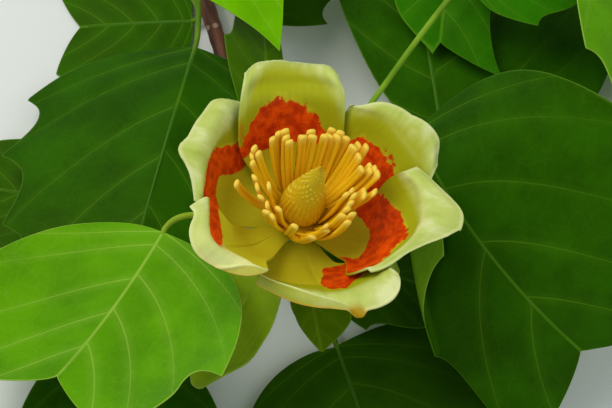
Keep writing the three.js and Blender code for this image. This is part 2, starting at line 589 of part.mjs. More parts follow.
// A point of a petal in the flower's own frame, u from -1 to 1 across and v from 0 to 1 along.
function petalPoint(petal, line, u, v) {
  const side = Math.abs(u);
  const tipBow = petal.corner * side ** 3 - petal.skew * u;
  const s = v * (1 - v * v * tipBow + petal.point * v ** 6 * Math.max(0, 1 - 3 * side) ** 2);
  const { r, h } = line(s);
  const slope = midlineSlope(petal, s);
  const clawWidth = 0.34;
  const swell = clawWidth + (1 - clawWidth) * ease(s, -0.05, 0.5);
  const whole = (petal.width / 2) * (swell - (1 - petal.tipWidth) * ease(s, 0.62, 1.05));
  const halfWidth = whole * (1 - clawCut(petal, u, s));
  const cup = degrees(petal.cup) * ease(s, -0.15, 0.45);
  const flare = degrees(petal.flare) * ease(s, 0.15, 0.9);
  const pieces = 12;
  let across = 0;
  let lift = 0;
  for (let i = 0; i < pieces; i++) {
    const t = (side * (i + 0.5)) / pieces;
    const angle = cup * t - flare * t ** 4;
    across += (Math.cos(angle) * side * halfWidth) / pieces;
    lift += (Math.sin(angle) * side * halfWidth) / pieces;
  }
  across *= Math.sign(u);
  const twist = degrees(petal.twist) * s;
  const sideways = across * Math.cos(twist) - lift * Math.sin(twist);
  const inward = across * Math.sin(twist) + lift * Math.cos(twist);
  const azimuth = degrees(petal.azimuth + petal.lean * Math.max(0, s) ** 1.5);
  const radius = r - Math.sin(slope) * inward;
  return new THREE.Vector3(
    radius * Math.cos(azimuth) - sideways * Math.sin(azimuth),
    radius * Math.sin(azimuth) + sideways * Math.cos(azimuth),
    h + Math.cos(slope) * inward,
  );
}

// One of the roll's values at u, as the mean of five places round u, so that it changes smoothly.
function rollMark(roll, key, u) {
  const places = [-0.12, -0.06, 0, 0.06, 0.12];
  const values = places.map((offset) => between(roll.at, roll[key], u + offset));
  return values.reduce((sum, value) => sum + value, 0) / values.length;
}

// The same with the lip rolled over: past its start it follows an arc that bends away from the
// inside of the flower, and then runs on straight.
function lipPoint(petal, line, u, v) {
  const { roll } = petal;
  const from = roll ? rollMark(roll, 'from', u) : Infinity;
  if (v <= from) {
    return petalPoint(petal, line, u, v);
  }
  const kept = rollMark(roll, 'share', u);
  const angle = degrees(rollMark(roll, 'angle', u));
  const bent = roll.bend * (1 - from) * kept * petal.length;
  const past = (v - from) * kept * petal.length;
  const radius = bent / angle;
  const onArc = Math.min(past, bent);
  const forward = radius * Math.sin(onArc / radius) + (past - onArc) * Math.cos(angle);
  const down = radius * (1 - Math.cos(onArc / radius)) + (past - onArc) * Math.sin(angle);
  const small = 0.01;
  const along = petalPoint(petal, line, u, from).sub(petalPoint(petal, line, u, from - small)).normalize();
  const across = petalPoint(petal, line, u - small, from).sub(petalPoint(petal, line, u + small, from));
  const inside = across.cross(along).normalize();
  return petalPoint(petal, line, u, from + (v - from) * kept)
    .addScaledVector(along, forward - past)
    .addScaledVector(inside, -down);
}

function makePetal(petal) {
  const line = midline(petal);
  const grid = [];
  const normals = [];
  const small = 0.01;
  for (let i = 0; i <= petalSheet.rows; i++) {
    const v = i / petalSheet.rows;
    const row = [];
    const rowNormals = [];
    for (let j = 0; j <= petalSheet.columns; j++) {
      const u = 1 - (2 * j) / petalSheet.columns;
      row.push(lipPoint(petal, line, u, v));
      const acrossStep = lipPoint(petal, line, u - small, v).sub(lipPoint(petal, line, u + small, v));
      const alongStep = lipPoint(petal, line, u, v + small).sub(lipPoint(petal, line, u, v - small));
      rowNormals.push(acrossStep.cross(alongStep).normalize());
    }
    grid.push(row);
    normals.push(rowNormals);
  }
  return sheet(grid, normals, petalSheet.thickness);
}

// The pointed cone of packed carpels, bowed to the right towards its tip.
function makeCone() {
  const profile = [
    [0, 0], [0.73, 0], [0.95, 0.06], [1, 0.15], [0.92, 0.31], [0.76, 0.46], [0.59, 0.62], [0.41, 0.77],
    [0.22, 0.90], [0, 1],
  ];
  const points = profile.map(([r, h]) => new THREE.Vector2(r * cone.radius, h * cone.height));
  const geometry = new THREE.LatheGeometry(points, 16);
  geometry.rotateX(Math.PI / 2);
  const position = geometry.attributes.position;
  for (let i = 0; i < position.count; i++) {
    position.setX(i, position.getX(i) + cone.bow * (position.getZ(i) / cone.height) ** 2);
  }
  geometry.translate(0, 0, cone.foot);
  return geometry;
}

// One stamen: a short round filament, then a flat strap that leaves outwards and stands up towards
// its tip.
function makeStamen(turn, row) {
  const at = THREE.MathUtils.euclideanModulo(turn + 180, 360) - 180;
  const reach = Math.max(between(stamenTips.around, stamenTips.reach, at) * row.inset, stamenTips.least);
  const start = new THREE.Vector2(row.radius, stamen.foot);
  const tip = new THREE.Vector2(reach, between(stamenTips.around, stamenTips.rise, at));
  const elbow = new THREE.Vector2(mix(start.x, tip.x, stamen.elbowOut), mix(start.y, tip.y, stamen.elbowUp));
  const path = new THREE.QuadraticBezierCurve(start, elbow, tip);
  const azimuth = degrees(turn);
  const rings = [];
  for (let i = 0; i <= stamen.steps; i++) {
    const t = i / stamen.steps;
    const isFilament = t < stamen.filamentShare;
    const taper = 1 - stamen.taper * t ** 6;
    const broad = isFilament ? stamen.filament : stamen.width * taper;
    const thick = isFilament ? stamen.filament : stamen.thickness * taper;
    const centre = path.getPoint(t);
    const tangent = path.getTangent(t);
    const corners = [[1, 1], [1, -1], [-1, -1], [-1, 1]];
    rings.push(corners.map(([a, b]) => {
      const radial = centre.x + (b * thick * tangent.y) / 2;
      const sideways = (a * broad) / 2;
      return new THREE.Vector3(
        radial * Math.cos(azimuth) - sideways * Math.sin(azimuth),
        radial * Math.sin(azimuth) + sideways * Math.cos(azimuth),
        centre.y - (b * thick * tangent.x) / 2,
      );
    }));
  }
  return loft(rings);
}

// All the stamens stand in two rows on one ring round the receptacle.
function makeStamens() {
  const profile = [
    [stamenSeat.inner, stamenSeat.bottom], [stamenSeat.outer, stamenSeat.bottom + 0.6],
    [stamenSeat.outer, stamenSeat.top], [stamenSeat.inner, stamenSeat.top],
    [stamenSeat.inner, stamenSeat.bottom],
  ].map(([r, h]) => new THREE.Vector2(r, h));
  const band = new THREE.LatheGeometry(profile, 24);
  band.rotateX(Math.PI / 2);
  let whorl = toSolid(band);
  for (const row of stamenRows) {
    for (let i = 0; i < row.count; i++) {
      whorl = whorl.add(toSolid(makeStamen(row.start + (360 * i) / row.count, row)));
    }
  }
  return toGeometry(whorl);
}

function makeTwig() {
  const main = limb(limbs.twig.curve, 22, 10, limbs.twig.radiusAt);
  const side = limb(limbs.side.curve, 14, 8, limbs.side.radiusAt);
  return toGeometry(toSolid(main).add(toSolid(side)));
}

// The stalk ends in the receptacle, a stepped knob on the flower's own axis.
function makeStalk() {
  const stalk = toSolid(limb(limbs.stalk.curve, 10, 10, limbs.stalk.radiusAt));
  const profile = [
    [0, receptacle.bottom], [receptacle.neck, receptacle.bottom],
    [receptacle.collarRadius, receptacle.bottom + 4], [receptacle.collarRadius, receptacle.collarTop],
    [receptacle.radius, receptacle.collarTop],
    [receptacle.radius, receptacle.top + 2.8], [0, receptacle.top + 2.8],
  ].map(([r, h]) => new THREE.Vector2(r, h));
  const knob = new THREE.LatheGeometry(profile, 24);
  knob.rotateX(Math.PI / 2);
  knob.applyQuaternion(flowerTilt);
  knob.translate(0, 0, flower.height);
  return toGeometry(stalk.add(toSolid(knob)));
}

function addMesh(parent, name, geometry, colour, roughness) {
  const material = new THREE.MeshStandardMaterial({ color: colours[colour], roughness, metalness: 0 });
  const mesh = new THREE.Mesh(geometry, material);
  mesh.name = name;
  parent.add(mesh);
}

const sprig = new THREE.Group();
addMesh(sprig, 'twig', makeTwig(), 'bark', 0.8);
addMesh(sprig, 'flower_stalk', makeStalk(), 'stalk', 0.55);
for (const leaf of leaves) {
  addMesh(sprig, leaf.name, makeLeaf(leaf), leaf.colour, 0.5);
}

const bloom = new THREE.Group();
bloom.position.set(0, 0, flower.height);
bloom.quaternion.copy(flowerTilt);
for (const petal of petals) {
  addMesh(bloom, petal.name, makePetal(petal), 'petal', 0.5);
}
for (const sepal of sepals) {
  addMesh(bloom, sepal.name, makePetal(sepal), 'sepal', 0.5);
}
addMesh(bloom, 'stamens', makeStamens(), 'stamen', 0.5);
addMesh(bloom, 'carpel_cone', makeCone(), 'cone', 0.6);
sprig.add(bloom);

// The origin is the middle of the box that holds the shoot, on the surface it lies on.
const group = new THREE.Group();
group.add(sprig);
group.updateMatrixWorld(true);
const extent = new THREE.Box3().setFromObject(sprig, true);
sprig.position.set(-(extent.min.x + extent.max.x) / 2, -(extent.min.y + extent.max.y) / 2, -extent.min.z);

export default group;
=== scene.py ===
# The looks of a cut flowering sprig of a tulip tree, lying on a pale floor with its flower facing up.
# Shapes are worked out in millimetres in the sprig's own plan, then placed in the model's frame.
import math
import bpy
import bmesh
import numpy as np
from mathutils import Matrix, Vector


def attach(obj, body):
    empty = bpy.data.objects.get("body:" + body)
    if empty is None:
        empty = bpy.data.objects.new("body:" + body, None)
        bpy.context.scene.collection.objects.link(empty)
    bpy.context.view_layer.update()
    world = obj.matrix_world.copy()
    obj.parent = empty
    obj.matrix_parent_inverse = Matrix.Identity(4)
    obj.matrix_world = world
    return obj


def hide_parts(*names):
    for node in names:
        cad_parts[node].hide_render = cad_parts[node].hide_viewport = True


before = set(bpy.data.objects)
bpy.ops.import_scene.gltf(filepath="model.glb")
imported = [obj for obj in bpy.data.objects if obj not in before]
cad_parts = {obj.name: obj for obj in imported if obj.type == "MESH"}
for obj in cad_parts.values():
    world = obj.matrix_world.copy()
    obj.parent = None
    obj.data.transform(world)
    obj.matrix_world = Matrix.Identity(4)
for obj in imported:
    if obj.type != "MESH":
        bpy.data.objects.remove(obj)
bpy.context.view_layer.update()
print("frame loaded")

planShift = np.array([-14.885971, -43.579071, 0.0])  # from the plan to the model's frame
flower = {"height": 58.0, "leanRight": 8.0, "leanBack": 5.0}  # mm, and degrees off the upright
millimetre, mergeWithin = 0.001, 2e-6  # both in metres


def ease(x, a, b):
    # 3t^2 - 2t^3, with t the share of the way from a to b held between 0 and 1
    t = np.clip((x - a) / (b - a), 0.0, 1.0)
    return t * t * (3.0 - 2.0 * t)


def mix(a, b, t):
    # a + (b - a) t
    return a + (b - a) * t


def bell(x, width):
    # exp(-(x / width)^2)
    return np.exp(-(x / width) ** 2)


def unit(v):
    # v / |v|
    return v / np.maximum(np.linalg.norm(v, axis=-1, keepdims=True), 1e-9)


def column(count):
    # even shares from 0 to 1, one below another
    return np.linspace(0, 1, count)[:, None]


def circle(count):
    # even angles round a full turn
    return np.linspace(0, 2 * math.pi, count, endpoint=False)


def turned(a, b, angle):
    # (a cos - b sin, a sin + b cos)
    return a * np.cos(angle) - b * np.sin(angle), a * np.sin(angle) + b * np.cos(angle)


def running(steps):
    # the running sum, from 0
    return np.concatenate([[0], np.cumsum(steps)])


def cubic(s, a, b, c, d):
    # (1-s)^3 a + 3(1-s)^2 s b + 3(1-s) s^2 c + s^3 d
    return (1 - s) ** 3 * a + 3 * (1 - s) ** 2 * s * b + 3 * (1 - s) * s * s * c + s ** 3 * d


def tiltMatrix():
    # the shortest turn that takes +Z to the flower's axis: I + K + K^2 / (1 + cos)
    x, y = (math.tan(math.radians(flower[key])) for key in ("leanRight", "leanBack"))
    axis = np.array([x, y, 1.0])
    axis /= np.linalg.norm(axis)
    k = np.array([[0, 0, axis[0]], [0, 0, axis[1]], [-axis[0], -axis[1], 0]])
    return np.eye(3) + k + k @ k / (1 + axis[2])


flowerTilt = tiltMatrix()
flowerAxis = flowerTilt[:, 2]


def fromFlower(points):
    # tilt p + the flower's height
    return points @ flowerTilt.T + np.array([0, 0, flower["height"]])


def wave(u, v, seed, count=5, low=1.0, high=4.0):
    # a sum of sines in random directions: sum of a_i sin(f_i (u cos t_i + v sin t_i) + p_i), about -1 to 1
    rng = np.random.default_rng(seed)
    total = np.zeros(np.broadcast(u, v).shape)
    for _ in range(count):
        turn, phase, rate = rng.uniform(0, math.pi), rng.uniform(0, 6.28), rng.uniform(low, high)
        total += np.sin(6.28 * rate * (u * math.cos(turn) + v * math.sin(turn)) + phase) / count
    return total * 1.6


def gridNormals(points):
    # the cross product of the steps across and along, copied inwards where a row has shrunk to a point
    normals = np.cross(np.gradient(points, axis=1), np.gradient(points, axis=0))
    size = np.linalg.norm(normals, axis=-1)
    normals = unit(normals)
    for row, inner in ((0, 2), (1, 2), (-1, -3), (-2, -3)):
        weak = size[row] < 1e-5
        normals[row][weak] = normals[inner][weak]
    return normals


def wrapUv(columns, along):
    # for a closed grid: the share of the way round, and the place along
    return np.stack(np.broadcast_arrays(np.linspace(0, 1, columns + 1)[None, :], along), -1)


def lathe(profile, sides, uvLength):
    # (r cos a, r sin a, h) for each (r, h) of the profile, round the flower's axis
    r, h = np.array(profile, float).T[..., None]
    points = np.stack([*turned(r, 0, circle(sides)), h + 0 * circle(sides)], -1)
    return fromFlower(points), wrapUv(sides, h / uvLength)


def addObject(name, data):
    # an object in the scene's own collection
    thing = bpy.data.objects.new(name, data)
    bpy.context.scene.collection.objects.link(thing)
    return thing


def addSurface(name, grids, materials, node, marks, wall=0.0, closed=False):
    # each grid is points, uv and perhaps a material's number: quads between neighbouring rows and columns, in
    # one mesh. Shrunken rows merge into one point; a wall goes under the surface, in the second material
    corners, quads, uvs, numbers, start = [], [], [], [], 0
    for points, uv, *number in grids:
        rows, columns = points.shape[:2]
        i, j = np.meshgrid(np.arange(rows - 1), np.arange(columns if closed else columns - 1), indexing="ij")
        a, b = i * columns + j, i * columns + (j + 1) % columns
        quads.append(np.stack([a, b, b + columns, a + columns], -1).reshape(-1, 4) + start)
        uvs.append(np.stack([uv[i, j], uv[i, j + 1], uv[i + 1, j + 1], uv[i + 1, j]], 2).reshape(-1, 2))
        numbers.append(np.full(len(quads[-1]), number[0] if number else 0))
        corners.append(points.reshape(-1, 3))
        start += rows * columns
    mesh = bpy.data.meshes.new(name)
    placed = (np.concatenate(corners) + planShift) * millimetre
    mesh.from_pydata(placed.tolist(), [], np.concatenate(quads).tolist())
    layer = mesh.uv_layers.new(name="UVMap")
    layer.data.foreach_set("uv", np.concatenate(uvs).astype(np.float32).ravel())
    mesh.polygons.foreach_set("material_index", np.concatenate(numbers).astype(np.int32))
    for mark, values in marks.items():
        attribute = mesh.attributes.new(mark, "FLOAT", "POINT")
        attribute.data.foreach_set("value", np.asarray(values, np.float32).ravel())
    work = bmesh.new()
    work.from_mesh(mesh)
    bmesh.ops.remove_doubles(work, verts=work.verts, dist=mergeWithin)
    work.to_mesh(mesh)
    work.free()
    mesh.shade_smooth()
    piece = addObject(name, mesh)
    for material in materials:
        mesh.materials.append(material)
    if wall:
        solid = piece.modifiers.new("Wall", "SOLIDIFY")
        solid.thickness, solid.offset = wall * millimetre, -1.0
        solid.material_offset, solid.material_offset_rim = 1, 0
    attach(piece, "root")
    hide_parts(node)


# ---- finishes

def srgb(hexColour):
    # the linear value of a hex colour
    parts = [int(hexColour[i:i + 2], 16) / 255 for i in (1, 3, 5)]
    return [p / 12.92 if p <= 0.04045 else ((p + 0.055) / 1.055) ** 2.4 for p in parts] + [1.0]


class Finish:
    # one material: each call adds nodes, and hands on the output to use

    def __init__(self, name, base, roughness=0.5, gloss=0.5, **sockets):
        # a Principled shader with its inputs' values, and the places that textures are looked up by
        self.material = bpy.data.materials.new(name)
        self.material.use_nodes = True
        self.nodes, self.links = self.material.node_tree.nodes, self.material.node_tree.links
        self.shader, self.base = self.nodes["Principled BSDF"], srgb(base)
        for key, value in {"Roughness": roughness, "Specular_IOR_Level": gloss, **sockets}.items():
            self.shader.inputs[key.replace("_", " ")].default_value = value
        place = self.nodes.new("ShaderNodeTexCoord")
        self.uv, self.place = place.outputs["UV"], place.outputs["Object"]

    def add(self, kind, inputs, output=0, **settings):
        # a node whose inputs are numbers, colours or other nodes' outputs
        node = self.nodes.new("ShaderNode" + kind)
        for key, value in settings.items():
            setattr(node, key, value)
        for key, value in inputs.items():
            if isinstance(value, bpy.types.NodeSocket):
                self.links.new(value, node.inputs[key])
            else:
                node.inputs[key].default_value = srgb(value) if isinstance(value, str) else value
        return node.outputs[output]

    def mark(self, name):
        # a value that the mesh carries at its points
        return self.add("Attribute", {}, "Fac", attribute_name=name)

    def join(self, how, first, *others):
        # first, joined with each of the others in turn
        for other in others:
            first = self.add("Math", {0: first, 1: other}, operation=how)
        return first

    def times(self, *values):
        # a b c ...
        return self.join("MULTIPLY", *values)

    def plus(self, *values):
        # a + b + ...
        return self.join("ADD", *values)

    def ramp(self, value, fromLow, fromHigh, toLow=0.0, toHigh=1.0, how="SMOOTHSTEP"):
        # from toLow to toHigh as the value goes from fromLow to fromHigh
        return self.add("MapRange", dict(enumerate((value, fromLow, fromHigh, toLow, toHigh))),
                        interpolation_type=how)

    def noise(self, vector, scale, detail=4.0, roughness=0.55, output="Fac"):
        # cloudy noise of a size and a roughness
        return self.add("TexNoise", {"Vector": vector, "Scale": scale, "Detail": detail, "Roughness": roughness},
                        output)

    def strokes(self, vector, wide, long, detail=3.0, roughness=0.55):
        # noise drawn out along the surface
        stretched = self.add("Mapping", {"Vector": vector, "Scale": (wide, long, 1.0)}, "Vector")
        return self.noise(stretched, 1.0, detail, roughness)

    def blend(self, share, low, high):
        # low, turning into high as the share goes from 0 to 1
        return self.add("Mix", {0: share, 6: low, 7: high}, 2, data_type="RGBA")

    def paint(self, colour, share, *limits):
        # a colour over what is there, by a share or by the ramp of a value between limits
        self.base = self.blend(self.ramp(share, *limits) if limits else share, self.base, colour)

    def done(self, height, strength, distance=0.0003):
        # the painted colour, with a bump of a height in metres
        bump = self.add("Bump", {"Height": height, "Strength": strength, "Distance": distance}, "Normal")
        self.links.new(bump, self.shader.inputs["Normal"])
        self.links.new(self.base, self.shader.inputs["Base Color"])
        return self.material


def leafFinish(name, dark, light, vein, veinShare=0.4, roughness=0.48, gloss=0.11):
    # mottled green between two tones. A side vein runs wherever the blade's course is a whole number, at
    # |course - round(course)| * veinScale < 1, the midrib lies at across = 0 and the rim at toRim = 0 (mm);
    # between them is a wandering net of faint veins with a finer one in its meshes
    f = Finish(name, dark, roughness, gloss, Specular_Tint=(0.8, 1.0, 0.15, 1.0))
    mottle, speckle = f.noise(f.uv, 5.0, 5.0), f.noise(f.uv, 60.0, 3.0)
    f.paint(light, mottle, 0.3, 0.7)
    drifted = f.add("VectorMath", {0: f.noise(f.uv, 9.0, 2.0, 0.5, "Color"), 1: (0.09, 0.09, 0.0), 2: f.uv},
                    "Vector", operation="MULTIPLY_ADD")
    wide, fine = (f.ramp(f.add("TexVoronoi", {"Vector": drifted, "Scale": scale, "Randomness": 0.9}, "Distance",
                               feature="DISTANCE_TO_EDGE"), 0.0, width, 1.0, 0.0)
                  for scale, width in ((15.0, 0.04), (46.0, 0.10)))
    across = f.add("Math", {0: f.mark("across")}, operation="ABSOLUTE")
    threads = f.join("MAXIMUM", f.times(wide, f.ramp(across, 3.0, 16.0, 0.03, 0.14)), f.times(fine, 0.08))
    offVein = f.times(f.join("PINGPONG", f.mark("course"), 0.5), f.mark("veinScale"))
    side = f.times(f.ramp(offVein, 0.15, 1.0, 1.0, 0.0), f.mark("veinFade"))
    middle, rim = f.ramp(across, 0.15, 0.75, 1.25, 0.0), f.ramp(f.mark("toRim"), 0.05, 0.42, 1.5, 0.0)
    f.paint(vein, f.times(f.ramp(offVein, 0.5, 9.0, 0.25 * veinShare, 0.0), f.mark("veinFade")))
    f.paint(vein, f.times(f.join("MAXIMUM", side, middle, rim, threads), veinShare))
    uneven = f.ramp(mottle, 0.2, 0.8, roughness - 0.06, roughness + 0.1)
    f.links.new(uneven, f.shader.inputs["Roughness"])
    return f.done(f.join("SUBTRACT", f.plus(f.times(threads, -2.0), speckle), side), 0.18)


petalTones = {
    "inside": {"claw": "#c0b81c", "hollow": "#a2a60e", "lip": "#c2d06c", "band": ("#bc2e00", "#f05400"),
               "share": 1.0, "bandFrom": (0.39, 0.405), "bandTo": (0.658, 0.642)},
    "outside": {"claw": "#aab64c", "hollow": "#b0c255", "lip": "#c0d277", "band": ("#e0892a", "#e0892a"),
                "share": 0.4, "bandFrom": (0.31, 0.46), "bandTo": (0.76, 0.58)},
}


def petalFinish(name, tones):
    # along the petal's ripeness: olive claw, ragged orange-red band at 0.40-0.65, yellow-green hollow up to
    # 0.85, then the pale green lip; the margins are brushed with cream, a painted highlight runs along the lip's
    # crest, painted shade darkens the lip past its fold, and a stain comes last
    f = Finish(name, tones["claw"], 0.5, 0.18, Subsurface_Weight=0.08, Subsurface_Scale=0.0015,
               Specular_Tint=(1.0, 0.98, 0.7, 1.0), Subsurface_Radius=(1.0, 0.9, 0.35))
    shift = f.add("CombineXYZ", {"Z": f.mark("seed")})
    where = f.add("VectorMath", {0: f.uv, 1: shift}, "Vector", operation="ADD")
    ragged, soft = f.noise(where, 16.0, 8.0, 0.62), f.noise(where, 4.5, 3.0)
    streaks, brush = f.strokes(where, 42.0, 2.2), f.strokes(where, 7.0, 2.6, 4.0)
    jagged, gentle = (f.plus(f.mark("ripe"), f.ramp(noise, 0.25, 0.75, -reach, reach, "LINEAR"))
                      for noise, reach in ((ragged, 0.045), (soft, 0.035)))
    onLip = f.ramp(gentle, 0.76, 0.90)
    f.paint("#c4be20", gentle, 0.20, 0.45)
    f.paint(tones["hollow"], gentle, 0.62, 0.68)
    f.paint(tones["lip"], onLip)
    f.paint("#9fb238", f.times(f.ramp(brush, 0.48, 0.72, 0.0, 0.65), onLip))
    f.paint("#e4e8ac", f.times(f.ramp(brush, 0.50, 0.28, 0.0, 0.75), onLip))
    # painted shade: the lip past its fold, turned down away from the light, is darkened to olive
    f.paint("#a2a834", f.times(f.mark("green"), 0.85))
    f.paint("#e2e7a8", f.mark("margin"), 0.5, 1.0, 0.0, 0.5)  # 0 in the middle, 1 at the side margins and tip
    # painted highlight: a pale line along the lip's crest; the same mark carries the cream wash just past the crest
    f.paint("#eef0a2", f.times(f.mark("glow"), 0.9))
    f.paint("#dd9a1c", f.times(f.mark("tinge"), 0.8))
    inner, outer = f.ramp(gentle, *tones["bandFrom"]), f.ramp(jagged, *tones["bandTo"])
    f.paint(f.blend(f.ramp(ragged, 0.35, 0.65), *tones["band"]),
            f.times(inner, outer, f.mark("band"), tones["share"]))
    f.paint("#8d9a2a", streaks, 0.5, 0.8, 0.0, 0.10)
    f.paint("#ac8a04", f.mark("tan"))
    return f.done(f.plus(streaks, f.times(ragged, 0.4)), 0.14)


def sepalFinish(name):
    # olive green with faint parallel veins and a paler margin
    f = Finish(name, "#7c9f02", 0.5, 0.25)
    streaks = f.strokes(f.uv, 34.0, 1.6, 4.0)
    f.paint("#98b806", f.noise(f.uv, 3.0), 0.3, 0.7)
    f.paint("#94aa3a", streaks, 0.45, 0.75, 0.0, 0.14)
    f.paint("#b9c274", f.mark("margin"), 0.7, 1.0, 0.0, 0.3)
    return f.done(streaks, 0.2)


def stamenFinish(name):
    # golden straps with a groove down each side darkened by painted shade, deeper at the foot and pale at the tip
    f = Finish(name, "#d8b010", 0.5, 0.2, Subsurface_Weight=0.1, Subsurface_Scale=0.001,
               Specular_Tint=(1.0, 0.95, 0.6, 1.0), Subsurface_Radius=(1.0, 0.85, 0.3))
    along, grain = f.mark("along"), f.noise(f.place, 900.0)
    f.paint("#fbcc14", along, 0.0, 0.22)
    f.paint("#f0a814", f.mark("own"), 0.6, 1.0, 0.0, 0.3)
    # painted shade in the groove down each side of a strap
    f.paint("#d8960c", f.mark("groove"), 0.05, 0.9, 0.0, 0.4)
    f.paint("#fbe070", along, 0.86, 1.0, 0.0, 0.45)
    f.paint("#fbdc50", grain, 0.4, 0.7, 0.0, 0.12)
    return f.done(grain, 0.2, 0.0002)


def coneFinish(name):
    # yellow-green carpels, paler on their crests with a painted highlight on their tops, over a smooth golden foot
    f = Finish(name, "#d0ac0a", 0.55, 0.25)
    crest, grain = f.mark("crest"), f.noise(f.place, 700.0)
    f.paint("#dfbb10", grain, 0.3, 0.7)
    scales = f.blend(f.ramp(crest, 0.0, 0.5), "#d0b414", "#e4ca30")
    # painted highlight on the tops of the carpels' crests
    f.paint(f.blend(f.ramp(crest, 0.55, 0.95, 0.0, 0.2), scales, "#f6ec9a"), f.mark("scaly"))
    f.paint("#c4b828", grain, 0.45, 0.75, 0.0, 0.25)
    return f.done(grain, 0.35)


def stalkFinish(name, low, high, midrib=None):
    # a green stalk with fine lengthwise ribs; where it runs under a blade it takes the midrib's tone
    f = Finish(name, low, 0.45, 0.2, Specular_Tint=(0.85, 1.0, 0.55, 1.0))
    ribs = f.strokes(f.uv, 14.0, 2.0)
    f.paint(high, f.noise(f.place, 90.0), 0.3, 0.7)
    f.paint("#b9c860", ribs, 0.5, 0.75, 0.0, 0.25)
    if midrib:
        f.paint(midrib, f.mark("sunk"))
    return f.done(ribs, 0.3)


def barkFinish(name):
    # red-brown young bark: lengthwise streaks, grey bloom and pale raised pores
    f = Finish(name, "#4a2a1c", 0.58, 0.35)
    streaks = f.strokes(f.uv, 9.0, 3.0, 6.0, 0.65)
    pores = f.add("TexVoronoi", {"Vector": f.place, "Scale": 210.0}, "Distance")
    dots = f.ramp(pores, 0.16, 0.24, 1.0, 0.0)
    f.paint("#7a4a30", streaks, 0.3, 0.7)
    f.paint("#8d7d6c", f.noise(f.place, 55.0, 5.0), 0.5, 0.8, 0.0, 0.5)
    f.paint("#b79a7c", f.times(dots, 0.8))
    return f.done(f.plus(streaks, dots), 0.5, 0.0004)


def woodFinish(name):
    # fresh cut wood: rings sin(44 r) round a greenish pith, with r from 0 at the pith to 1 at the bark
    f = Finish(name, "#d8c79a", 0.7)
    r = f.add("SeparateXYZ", {0: f.uv}, "Y")
    f.paint("#e9dfbd", f.add("Math", {0: f.times(r, 44.0)}, operation="SINE"), -1.0, 1.0)
    f.paint("#b7b27a", r, 0.28, 0.20)
    f.paint("#7d8b3d", r, 0.88, 0.95)
    return f.done(f.noise(f.place, 1500.0), 0.5, 0.0002)


finishes = {
    "bark": barkFinish("young bark"),
    "wood": woodFinish("cut wood"),
    "flowerStalk": stalkFinish("flower stalk green", "#6f8f2a", "#8fac3c"),
    "stamen": stamenFinish("golden anthers"),
    "cone": coneFinish("green-gold carpels"),
    "petalInside": petalFinish("petal inside", petalTones["inside"]),
    "petalOutside": petalFinish("petal outside", petalTones["outside"]),
    "sepal": sepalFinish("sepal olive"),
}
# upper side's two tones and veins, share of the veins, stalk's two tones and midrib, colour slot
leafTones = {
    "bright": ("#4a8802", "#5c9d02", "#a9cc50", 0.42, "#7f9f14", "#98b624", "#84ae38", "leaf"),
    "fresh": ("#345a00", "#406a00", "#6c9418", 0.24, "#5f8a12", "#7ba420", "#5c7c14", "olive_leaf"),
    "vivid": ("#5ea400", "#70ba00", "#a6d03c", 0.30, "#7f9f14", "#98b624", "#84b430", "leaf"),
    "middle": ("#1c5a00", "#276e00", "#669a20", 0.32, "#5f8a12", "#7ba420", "#4f8420", "leaf"),
    "deep": ("#1d4800", "#275c00", "#60901c", 0.38, "#557e10", "#6f9820", "#3c6c12", "deep_leaf"),
    # the shade row is a darker copy of the leaf's tones and stalk tones, for leaves lying in shadow: painted shade
    "shade": ("#1b4000", "#254e00", "#507c16", 0.32, "#4a7210", "#62881c", "#325a10", "deep_leaf"),
    "olive": ("#426300", "#527500", "#7c9820", 0.22, "#5f8a12", "#7ba420", "#5c7c14", "olive_leaf"),
}
underTones = ("#5c8a14", "#74a01c", "#a0bc50", 0.5, 0.6, 0.1)
looks = {tone: {"blade": [leafFinish("leaf upper " + tone, *values[:4]),
                          leafFinish("leaf under " + tone, *underTones)],
                "stalk": [stalkFinish("leaf stalk " + tone, *values[4:7])], "slot": values[7]}
         for tone, values in leafTones.items()}
print("finishes made")


# ---- leaves

